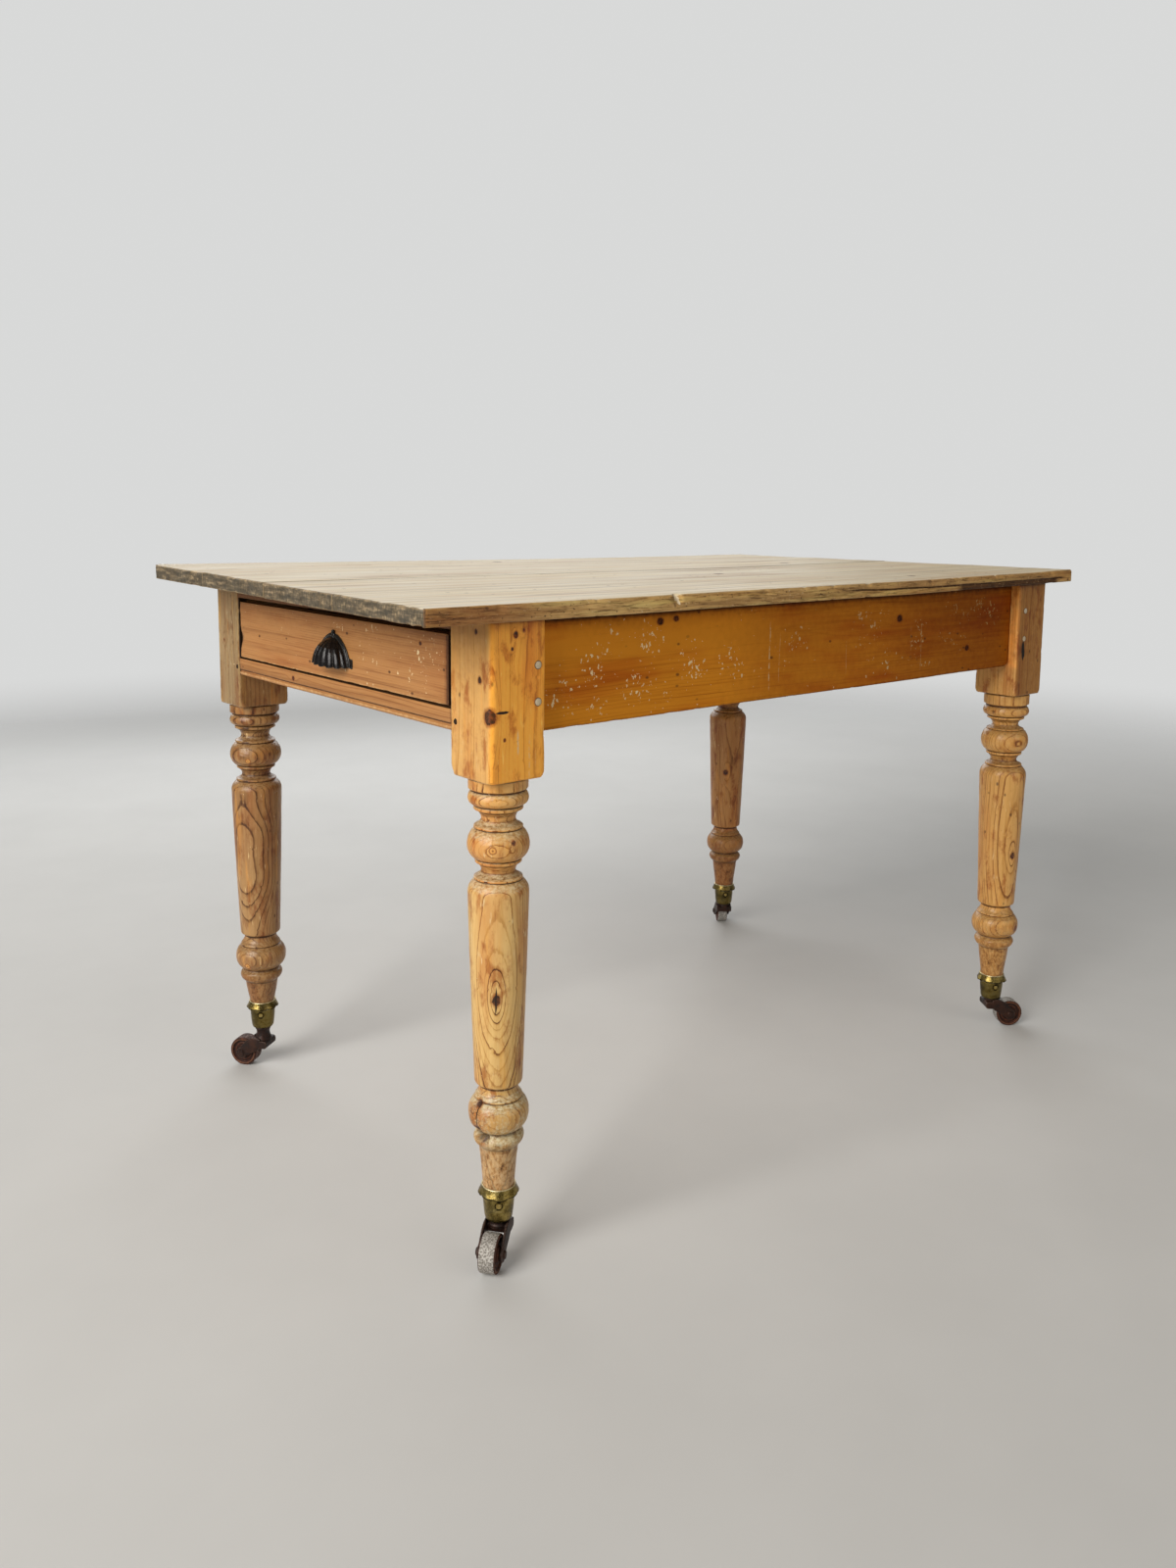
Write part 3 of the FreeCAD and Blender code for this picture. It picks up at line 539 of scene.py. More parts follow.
        # a pale scratch across the face: near one value of one axis, between limits of another
        ax, rng = axis_i
        sx = g.sep(g.coord)[ax]
        sr = g.sep(g.coord)[rng]
        wob = g.mul(g.sub(g.noise(g.vmath("SCALE", g.coord, 24.0), 1.0, 2.0), 0.5), wavy)
        mk = g.range(g.math("ABSOLUTE", g.sub(g.add(sx, wob), at)), halfw, halfw * 0.3)
        mk = g.mul(mk, g.mul(g.range(sr, lo, lo + 0.012), g.range(sr, hi, hi - 0.012)))
        brk = g.range(g.noise(g.vmath("SCALE", g.coord, 190.0), 1.0, 2.0), 0.36, 0.6)
        mk = g.mul(g.mul(mk, brk), strength)
        c = g.mix(mk, c, srgb(232, 204, 156))
    # dark slots and cracks painted on the faces: painted shade inside openings the mesh does not cut
    for (axis_i, at, halfw, lo, hi) in slots:
        ax, rng = axis_i
        sx = g.sep(g.coord)[ax]
        sr = g.sep(g.coord)[rng]
        wob = g.mul(g.sub(g.noise(g.vmath("SCALE", g.coord, 60.0), 1.0, 2.0), 0.5), halfw * 1.6)
        taper = g.mul(g.range(sr, lo, lo + 0.3 * (hi - lo)), g.range(sr, hi, hi - 0.3 * (hi - lo)))
        mk = g.range(g.sub(g.math("ABSOLUTE", g.sub(g.add(sx, wob), at)), g.mul(taper, halfw)), 0.0003, -0.0003)
        c = g.mix(g.mul(mk, g.range(taper, 0.02, 0.2)), c, srgb(34, 18, 8))
    if flecks or fleck_spots:
        near = g.range(g.noise(g.vmath("SCALE", g.coord, 13.0), 1.0, 2.0, 0.6), 0.44, 0.74)
        near = g.mul(near, flecks)
        for (fx, fy, fz, fr_, st) in fleck_spots:
            dd = g.vmath("DISTANCE", g.coord, (fx, fy, fz))
            near = g.math("MAXIMUM", near, g.mul(g.range(dd, fr_, fr_ * 0.2), st))
        total = None
        for q_, (sx_, sz_, far_, gain_) in enumerate(((125.0, 100.0, 0.765, 0.125), (230.0, 180.0, 0.752, 0.125), (75.0, 42.0, 0.800, 0.110))):
            vv = g.vmath("ADD", g.vmath("MULTIPLY", g.coord, (sx_, sx_, sz_)), (3.1 * q_ + so, 1.7 * q_, 5.3 * q_))
            fd = g.noise(vv, 1.0, 3.0, 0.58)
            thr = g.sub(far_, g.mul(near, gain_))
            blob = g.range(g.sub(fd, thr), 0.0, 0.014)
            total = blob if total is None else g.math("MAXIMUM", total, blob)
        c = g.mix(g.mul(total, 0.92), c, srgb(240, 218, 172))
        extra = total
    # painted shade where the shade attribute is set, thin dark lines painted as shade in creases and cracks, and near
    # black painted as shadow in gaps
    sh = g.range(g.add(g.attr("shade"), g.mul(g.sub(dn, 0.5), 0.35)), 0.05, 1.0, 0.0, 1.0, "LINEAR")
    c = g.mix(sh, c, g.mix(1.0, c, srgb(*shade_mul), "MULTIPLY"))
    ln = g.mul(g.attr("line"), g.range(dn, 0.30, 0.52, 0.45, 1.0))
    c = g.mix(g.mul(ln, 0.86), c, srgb(54, 28, 12))
    c = g.mix(g.mul(g.attr("gap"), 0.95), c, srgb(22, 12, 7))
    g.put(g.bsdf.inputs["Base Color"], c)

    rr = g.add(g.mul(fib2, 0.5), g.mul(patch, 0.5))
    r = g.range(rr, 0.3, 0.7, rough[0], rough[1], "LINEAR")
    r = g.add(r, g.mul(dm, 0.15))
    g.put(g.bsdf.inputs["Roughness"], r)
    g.bsdf.inputs["Specular IOR Level"].default_value = shine
    h = g.add(g.mul(band, 0.35), g.add(g.mul(fib, 0.55), g.mul(fib2, 0.5)))
    dent = g.noise(g.vmath("SCALE", g.coord, 55.0), 1.0, 3.0, 0.6)
    h = g.add(h, g.mul(dent, 1.1))
    if extra is not None:
        h = g.add(h, g.mul(extra, 0.5))
    if knot_mask is not None:
        h = g.add(h, g.mul(knot_rim, -0.6))
    g.put(g.bsdf.inputs["Normal"], g.bump(h, bump, 0.0006))
    return g.mat


# ---------------------------------------------------------------- metals
def metal(name, cols, rough=(0.35, 0.6), metallic=1.0, scale=140.0, bump=0.5, pits=0.3, patina=None, patina_amt=0.5,
          edge_wear_and_highlight_col=None, edge_amt=0.0, shine=0.5, grime_and_shade=0.7, grime_and_shade_col=(24, 18, 12)):
    g = Graph(name)
    n1 = g.noise(g.vmath("SCALE", g.coord, scale), 1.0, 4.0, 0.6)
    n2 = g.noise(g.vmath("SCALE", g.coord, scale * 4.3), 1.0, 3.0, 0.6)
    n3 = g.noise(g.vmath("SCALE", g.coord, scale * 0.35), 1.0, 2.0, 0.5)
    t = g.add(g.mul(n1, 0.6), g.add(g.mul(n2, 0.25), g.mul(n3, 0.25)))
    k = len(cols)
    c = g.ramp(t, [(0.34 + 0.4 * i / max(1, k - 1), srgb(*x)) for i, x in enumerate(cols)])
    if patina is not None:
        m = g.mul(g.range(g.add(n3, g.mul(g.sub(n2, 0.5), 0.5)), 0.42, 0.68), patina_amt)
        c = g.mix(m, c, srgb(*patina))
    # dark in hollows and light on proud edges: patina and wear, and on the cups and the pull also painted shade and
    # painted highlight
    dirt_and_shade = g.attr("dirt_and_shade")
    edge = g.attr("edge")
    dm = g.mul(g.range(g.add(dirt_and_shade, g.mul(g.sub(n1, 0.5), 0.6)), 0.25, 0.9), grime_and_shade)
    c = g.mix(dm, c, srgb(*grime_and_shade_col))
    if edge_wear_and_highlight_col is not None:
        em = g.mul(g.range(g.add(edge, g.mul(g.sub(n2, 0.5), 0.9)), 0.4, 0.95), edge_amt)
        c = g.mix(em, c, srgb(*edge_wear_and_highlight_col))
    g.put(g.bsdf.inputs["Base Color"], c)
    g.bsdf.inputs["Metallic"].default_value = metallic
    g.bsdf.inputs["Specular IOR Level"].default_value = shine
    g.put(g.bsdf.inputs["Roughness"], g.add(g.range(g.add(g.mul(n2, 0.5), g.mul(n1, 0.5)), 0.3, 0.7, rough[0], rough[1], "LINEAR"),
                                            g.mul(dm, 0.2)))
    pit = g.range(g.voronoi(g.vmath("SCALE", g.coord, scale * 6.0), 1.0), 0.0, 0.35, 0.0, 1.0)
    h = g.add(g.add(n1, g.mul(n2, 0.6)), g.mul(pit, pits))
    g.put(g.bsdf.inputs["Normal"], g.bump(h, bump, 0.0004))
    return g.mat


# ---------------------------------------------------------------- materials
RAW = dict(pale=(214, 176, 122), mid=(196, 154, 98), late=(160, 112, 62), deep=(116, 76, 40), stains=0.25, grey=0.35,
           rough=(0.6, 0.8), shine=0.25, dots=0.4, grime_and_shade=0.5, wear_and_highlight=0.2)
M = {}
M["iron"] = metal("dark_iron_nails", [(38, 30, 24), (62, 48, 38), (84, 62, 44)], (0.45, 0.7), 0.85, 300.0, 0.5)
# a near white edge colour on rims and proud edges: painted highlight, with wear
M["brass"] = metal("aged_brass_cups", [(70, 58, 28), (120, 102, 52), (170, 150, 88), (206, 188, 130)], (0.18, 0.42), 1.0, 150.0, 0.8, 0.4,
                   patina=(54, 46, 26), patina_amt=0.75, edge_wear_and_highlight_col=(240, 226, 182), edge_amt=0.85, grime_and_shade=0.97, grime_and_shade_col=(16, 12, 8))
M["brass_screw"] = metal("brass_screws", [(116, 96, 48), (184, 160, 92), (230, 210, 150)], (0.22, 0.42), 1.0, 500.0, 0.5, 0.4,
                         patina=(48, 38, 20), patina_amt=0.4)
M["rust"] = metal("rusty_iron_horn", [(18, 12, 11), (32, 20, 17), (48, 29, 22), (66, 40, 28)], (0.34, 0.60), 0.45, 150.0, 0.7, 0.5,
                  patina=(76, 42, 26), patina_amt=0.40, edge_wear_and_highlight_col=(108, 88, 76), edge_amt=0.45, shine=0.45)
# a pale grey edge colour on the flute ridges: painted highlight, with wear
M["bronze"] = metal("bronzed_iron_pull", [(9, 7, 8), (15, 12, 13), (23, 19, 20), (34, 31, 30)], (0.17, 0.32), 0.25, 220.0, 0.22, 0.15,
                    patina=(26, 30, 26), patina_amt=0.3, edge_wear_and_highlight_col=(92, 94, 88), edge_amt=0.40, shine=0.34)


# ---------------------------------------------------------------- top boards
TOPX0, TOPX1, TOPZ0, TOPZ1 = -0.610, 0.610, 0.743, 0.762
SEAM_Y = (-0.367, -0.177, -0.001, 0.183, 0.367)


WARP_F = ((-0.61, -0.50, -0.38, -0.26, -0.15, 0.0, 0.20, 0.30, 0.40, 0.52, 0.61), (-4.4, -4.2, -4.0, -3.7, -3.2, -2.6, -2.2, -0.9, 0.0, 0.5, 2.8))
WARP_B = ((-0.61, -0.53, -0.40, -0.27, -0.12, 0.05, 0.20, 0.61), (8.4, 7.4, 6.2, 4.9, 3.4, 2.0, 0.7, 0.5))


def warp(x, y):
    """How far the boards have sprung from flat: the seen edge sags, the far drawer corner has lifted."""
    f = sum(np.interp(x + d, *WARP_F) for d in (-0.05, -0.025, 0, 0.025, 0.05)) / 5
    b = sum(np.interp(x + d, *WARP_B) for d in (-0.05, -0.025, 0, 0.025, 0.05)) / 5
    t = np.clip(y / 0.734 + 0.5, 0, 1)
    return (f + (b - f) * t) * 0.001


def follow(V):
    """Carries the upper ends of legs and rails up or down with the sprung top."""
    V[:, 2] += warp(V[:, 0], V[:, 1]) * smooth((V[:, 2] - 0.705) / 0.038)
    return V


def top_shape(P0, lo, hi, k):
    """Worn arrises, ragged ends, the split front edge and the lift and droop of the overhanging end."""
    P = P0.copy()
    x, y, z = P0.T
    front, back = k == 0, k == 3
    nz = lambda sx, sy, sz, sd, o=2: fbm(P0 * np.array([sx, sy, sz]), o, sd)
    up = z > (TOPZ0 + TOPZ1) / 2
    low_y = y < (lo[1] + hi[1]) / 2
    outer = (low_y & front) | (~low_y & back)
    nick = np.clip(nz(85, 0, 3, 40 + k, 2) - 0.42, 0, 1) * 0.016
    r_long = np.where(outer, np.where(up, 0.0036 + 0.0014 * nz(9, 0, 2, 5 + k) + nick, 0.0019 + 0.0009 * nz(14, 0, 2, 8 + k) + nick),
                      0.0006 + 0.0003 * nz(30, 0, 0, 9 + k))
    nick2 = np.clip(nz(0, 70, 3, 60 + k, 2) - 0.40, 0, 1) * 0.014
    r_end = np.where(up, 0.0028 + 0.0014 * nz(0, 20, 2, 11 + k) + nick2, 0.0018 + 0.001 * nz(0, 26, 2, 13 + k) + nick2)
    r_xy = np.where(outer, 0.004, 0.0008)
    if back:
        r_xy = np.where((x < 0) & ~low_y, 0.028, r_xy)
    if front:
        r_xy = np.where((x < 0) & low_y, 0.0035, r_xy)
    round2(P, 0, 1, lo, hi, r_xy)
    round2(P, 1, 2, lo, hi, np.clip(r_long, 0.0003, 0.008))
    round2(P, 0, 2, lo, hi, np.clip(r_end, 0.0008, 0.008))

    # end grain: soft wood weathered back between the hard rings, saw tracks across
    at_lo = smooth((0.010 - (x - lo[0])) / 0.010)
    at_hi = smooth((0.010 - (hi[0] - x)) / 0.010)
    er = 0.0009 * np.clip(nz(0, 160, 60, 21 + k, 3), -1, 1) + 0.0007 * nz(0, 420, 90, 23 + k)
    er = er - 0.0030 * np.clip(nz(0, 46, 30, 29 + k, 2) - 0.38, 0, 1)
    P[:, 0] += (at_lo - at_hi) * (0.0005 - er)
    bow = 0.0018 * np.sin((y + 0.1) * 7.0)
    P[:, 0] += at_lo * bow
    if front:
        f = smooth((0.012 - (y - lo[1])) / 0.012)
        # long hollows where hands and chairs have rubbed the edge
        P[:, 1] += f * (0.0007 + 0.0010 * fbm(np.stack([x * 7, 0 * x, z * 30], 1), 3, 71))
        P[:, 1] += f * 0.00035 * fbm(np.stack([x * 60, 0 * x, z * 160], 1), 2, 72)
        # a notch bitten out of the top arris
        nt = np.exp(-((x + 0.2690) / 0.0052) ** 2) * smooth((z - 0.7475) / 0.009)
        P[:, 1] += f * nt * 0.0052
        P[:, 2] -= nt * 0.0030 * smooth((0.006 - (y - lo[1])) / 0.006)
        for cx, cw, cd in ((-0.520, 0.006, 0.0016), (-0.405, 0.010, 0.0015), (-0.118, 0.007, 0.0018), (0.105, 0.012, 0.0015), (0.226, 0.006, 0.002),
                           (0.402, 0.010, 0.0014), (0.548, 0.007, 0.0020)):
            P[:, 1] += f * cd * np.exp(-((x - cx) / cw) ** 2) * smooth((z - 0.750) / 0.008)
        # the split along the edge and the broken lip under it
        zs = 0.7530 - 0.0030 * smooth((x - 0.02) / 0.35) + 0.0012 * fbm(np.stack([x * 16, 0 * x, 0 * x], 1), 3, 75)
        along = smooth((x - 0.015) / 0.05) * smooth((0.596 - x) / 0.02)
        g = np.exp(-((z - zs) / 0.00095) ** 2) * along
        P[:, 1] += f * g * (0.0030 + 0.0014 * fbm(np.stack([x * 30, 0 * x, 0 * x], 1), 2, 76))
        lip = smooth((x - 0.285) / 0.03) * smooth((0.585 - x) / 0.03) * smooth((zs - 0.0002 - z) / 0.0016)
        P[:, 1] += f * lip * (0.0026 + 0.0026 * np.clip(fbm(np.stack([x * 42, 0 * x, z * 120], 1), 3, 77), -0.8, 1))
        P[:, 2] += lip * f * 0.0010 * np.clip(fbm(np.stack([x * 60, y * 0, 0 * z], 1), 2, 78), 0, 1)
    if back:
        f = smooth((0.012 - (hi[1] - y)) / 0.012)
        P[:, 1] -= f * (0.0007 + 0.0010 * fbm(np.stack([x * 7, 0 * x, z * 30], 1), 3, 81))
        for cx, cw, cd in ((-0.420, 0.010, 0.0022), (-0.05, 0.008, 0.0018), (0.31, 0.009, 0.0026), (0.5, 0.012, 0.0016)):
            P[:, 1] -= f * cd * np.exp(-((x - cx) / cw) ** 2) * smooth((z - 0.750) / 0.008)
    # top surface: scrubbed hollow between the joints, faint plane tracks, each board a hair high or low
    crown = ((y - (lo[1] + hi[1]) / 2) / ((hi[1] - lo[1]) / 2)) ** 2
    P[:, 2] += up * (0.00035 * (crown - 0.6) + 0.00022 * nz(5, 14, 0, 31 + k, 3)) + (0.00018, -0.0002, 0.00012, -0.0001)[k]
    P[:, 2] += warp(x, y)
    edge = np.exp(-np.sort(np.minimum(P0 - lo, hi - P0) + np.array([0, 0.02 * 0, 0]), 1)[:, 1] / 0.0035)
    joint = np.where(~outer, np.exp(-np.minimum(y - lo[1], hi[1] - y) / 0.0012), 0.0)
    edge = np.where((~outer) & (np.minimum(y - lo[1], hi[1] - y) < 0.004) & (np.minimum(x - lo[0], hi[0] - x) > 0.004), 0.0, edge)
    dirt_and_shade = joint * 0.9
    # dark in the split and under the broken lip: painted shadow in the crack
    if front:
        dirt_and_shade = np.maximum(dirt_and_shade, np.exp(-((z - zs) / 0.0013) ** 2) * along * (y - lo[1] < 0.004) * 1.0)
        dirt_and_shade = np.maximum(dirt_and_shade, lip * (y - lo[1] < 0.008) * 1.0)
    side = np.zeros(len(P0))
    if front:
        side = smooth((0.0030 - (y - lo[1])) / 0.0026)
    if back:
        side = smooth((0.0030 - (hi[1] - y)) / 0.0026)
    endg = np.maximum(smooth((0.0034 - (x - lo[0])) / 0.0028), smooth((0.0034 - (hi[0] - x)) / 0.0028))
    under = smooth((TOPZ0 + 0.0016 - z) / 0.0014)
    side = np.maximum(side, 0.7 * under)
    line = np.zeros(len(P0))
    # thin dark lines in the split, under the broken lip and at the notch: painted shade
    if front:
        line = np.exp(-((z - zs) / 0.0009) ** 2) * along * (y - lo[1] < 0.004)
        line = np.maximum(line, 0.8 * lip * (y - lo[1] < 0.010) * smooth((0.7475 - z) / 0.003))
        line = np.maximum(line, 0.9 * np.exp(-((x + 0.2735 - 0.2 * (z - 0.752)) / 0.0009) ** 2) * smooth((z - 0.7465) / 0.002) * (y - lo[1] < 0.006))
    shade = np.zeros(len(P0))
    # the front edge darker near the left corner and along its right part
    if front:
        shade = side * np.maximum(0.70 * smooth((-0.40 - x) / 0.15), 0.25 * smooth((x - 0.02) / 0.2))
    return P, {"edge": edge, "dirt_and_shade": dirt_and_shade, "side": side, "endg": endg, "line": line, "shade": shade}


# scrubbed pale pine; its colours are paled further to carry the sheen of light across the top: partly painted sheen
BOARD = dict(along="X", pale=(224, 207, 172), mid=(205, 183, 143), late=(178, 151, 108), deep=(142, 108, 70), contrast=0.42, fibre=0.45,
             tone=0.42, stains=0.22, grime_and_shade=0.85, wear_and_highlight=0.35, wear_and_highlight_col=(214, 182, 132), rough=(0.50, 0.72), shine=0.35, grey=0.5,
             streaks=0.6, dots=0.45, bump=0.45, wander=0.014, side_mul=(240, 206, 152), end_mul=(66, 57, 44), shade_mul=(178, 122, 70))
PITHS = ((-0.29, 0.700), (-0.07, 0.830), (0.115, 0.690), (0.26, 0.850))
KNOTS_TOP = (
    [(0.27, -0.300, 0.762, 0.005, "Z")],
    [(0.06, -0.110, 0.762, 0.006, "Z")],
    [(0.40, 0.060, 0.762, 0.007, "Z")],
    [(-0.05, 0.300, 0.762, 0.006, "Z")],
)
CHIPS_TOP = ((-0.2680, -0.3655, 0.7545, 0.0030, 0.010, 0.0050), (-0.2660, -0.3655, 0.7490, 0.0016, 0.010, 0.0030))
END_STEPS = (0, .0004, .0009, .0015, .0022, .003, .0042, .006, .009, .013)
for k in range(4):
    lo = np.array([TOPX0, SEAM_Y[k], TOPZ0])
    hi = np.array([TOPX1, SEAM_Y[k + 1], TOPZ1])
    xs = axis(lo[0], hi[0], 0.0021 if k == 0 else 0.0045, END_STEPS + ((.016, .019, .022, .025, .028) if k == 3 else ()))
    ys = axis(lo[1], hi[1], 0.0105, END_STEPS + ((.017, .022) if k == 3 else ()), END_STEPS + ((.016, .019, .022, .025, .028) if k == 3 else ()))
    zs_ = axis(lo[2], hi[2], 0.0010, (0, .0004, .0009, .0015, .0022, .003))
    P0, F = lattice(xs, ys, zs_)
    P, at = top_shape(P0, lo, hi, k)
    M["top%d" % k] = pine("scrubbed_pine_board_%d" % (k + 1), seed=11 + 3 * k, pith=PITHS[k], ring=(0.0036, 0.0031, 0.0040, 0.0033)[k],
                          knots=KNOTS_TOP[k], chips=CHIPS_TOP if k == 0 else (), **BOARD)
    make("top_board_%d_worn" % (k + 1), P, F, M["top%d" % k], "table", ["top_board_%d" % (k + 1)], at)


# ---------------------------------------------------------------- legs
LEGS = {
    "drawer_right": (-0.483, -0.310, 0.0, -142.0),
    "drawer_left": (-0.483, 0.310, 16.0, 125.0),
    "far_right": (0.529, -0.310, 0.0, -36.0),
    "far_left": (0.529, 0.310, 0.0, 52.0),
}
PROFILE = [
    (564.6, 31.6), (563.8, 32.9), (562.9, 33.4), (553.4, 33.3), (552.7, 32.9), (552.1, 31.6), (551.5, 30.2), (550.4, 29.8), (549.6, 30.2), (549.0, 31.2),
    (547.6, 32.3), (545.2, 33.3), (542.4, 33.8), (539.8, 33.5), (537.6, 32.5), (536.0, 31.0), (534.9, 29.2), (534.3, 27.4), (533.9, 26.0), (533.5, 25.6),
    (533.1, 26.0), (532.8, 27.1), (532.3, 27.5), (529.6, 27.4), (529.1, 26.9), (528.8, 25.4), (528.2, 24.4), (526.6, 22.5), (524.3, 20.7), (521.6, 19.5),
    (519.0, 19.1), (517.2, 19.3), (515.2, 20.4), (513.6, 22.0), (512.4, 23.8), (511.6, 25.4), (511.2, 26.6), (510.7, 27.2), (509.2, 27.3), (508.7, 26.9),
    (508.4, 26.0), (508.0, 25.8), (507.5, 26.6), (506.3, 28.3), (504.4, 30.0), (501.8, 31.7), (498.4, 33.3), (494.6, 34.3), (490.8, 34.8), (487.0, 34.7),
    (483.4, 33.9), (480.2, 32.5), (477.4, 30.6), (475.4, 28.6), (474.4, 26.8), (473.9, 25.2), (473.5, 24.5), (473.1, 24.8), (472.8, 25.7), (472.3, 26.1),
    (469.9, 26.0), (469.4, 25.5), (469.1, 24.0), (468.3, 23.1), (466.6, 21.6), (464.2, 20.0), (461.6, 19.1), (459.4, 19.1), (457.6, 19.9), (456.0, 21.4),
    (454.8, 23.1), (454.0, 24.8), (453.6, 26.2), (453.1, 27.0), (451.5, 27.2), (451.0, 26.8), (450.7, 25.9), (450.3, 25.8), (449.8, 26.8), (448.8, 28.2),
    (447.2, 29.8), (445.2, 31.4), (443.0, 32.7), (440.8, 33.6), (438.6, 34.1), (436.4, 34.3), (433.2, 34.3), (431.0, 34.25), (330.0, 31.3), (218.4, 27.3),
    (216.6, 27.1), (215.3, 26.5), (214.2, 25.2), (213.4, 23.4), (212.6, 22.3), (211.4, 21.8), (209.6, 21.8), (207.4, 22.2), (205.0, 23.0), (202.8, 24.2),
    (201.0, 25.5), (199.8, 26.4), (199.0, 27.0), (197.9, 27.2), (197.3, 26.8), (197.0, 26.2), (196.6, 26.4), (196.0, 27.5), (194.4, 29.2), (192.0, 31.0),
    (189.2, 32.5), (186.0, 33.7), (182.6, 34.4), (178.8, 34.6), (175.0, 34.3), (171.2, 33.5), (168.2, 32.3), (165.6, 30.7), (163.4, 28.8), (161.8, 26.9),
    (160.8, 25.2), (160.2, 24.2), (159.4, 23.8), (158.4, 24.0), (157.2, 25.0), (155.8, 26.6), (154.2, 28.0), (152.2, 28.9), (150.0, 29.1), (148.0, 28.8),
    (146.0, 28.0), (144.2, 26.9), (142.6, 25.5), (141.4, 24.2), (140.6, 23.2), (139.4, 22.7), (137.6, 22.4), (131.0, 21.7), (121.0, 20.6), (107.0, 19.4),
]
BLOCK_Z = 565.0
CUP_Z = 90.4


def leg_rows(lift):
    rows = [(z, None) for z in np.concatenate([[742.6, 742.0, 741.2, 740.2], np.arange(738.0, 581.5, -2.6), np.arange(580.5, 568.0, -1.0),
                                                BLOCK_Z + np.array([2.6, 1.8, 1.2, 0.8, 0.5, 0.25, 0.1, 0.0])])]
    pts = [p for p in PROFILE if not lift or p[0] > 110]
    pts.append((CUP_Z + lift, 17.95))
    pts.append((CUP_Z + lift - 4.0, 17.0))
    pts.append((CUP_Z + lift - 24.0, 11.9))
    turned = [(BLOCK_Z - 0.1, 30.5)]
    prev = pts[0]
    turned.append(prev)
    for q in pts[1:]:
        gap = prev[0] - q[0]
        n = max(1, int(math.ceil(gap / (0.75 if gap < 20 else 2.4))))
        for i in range(1, n + 1):
            turned.append((prev[0] + (q[0] - prev[0]) * i / n, prev[1] + (q[1] - prev[1]) * i / n))
        prev = q
    return rows + turned


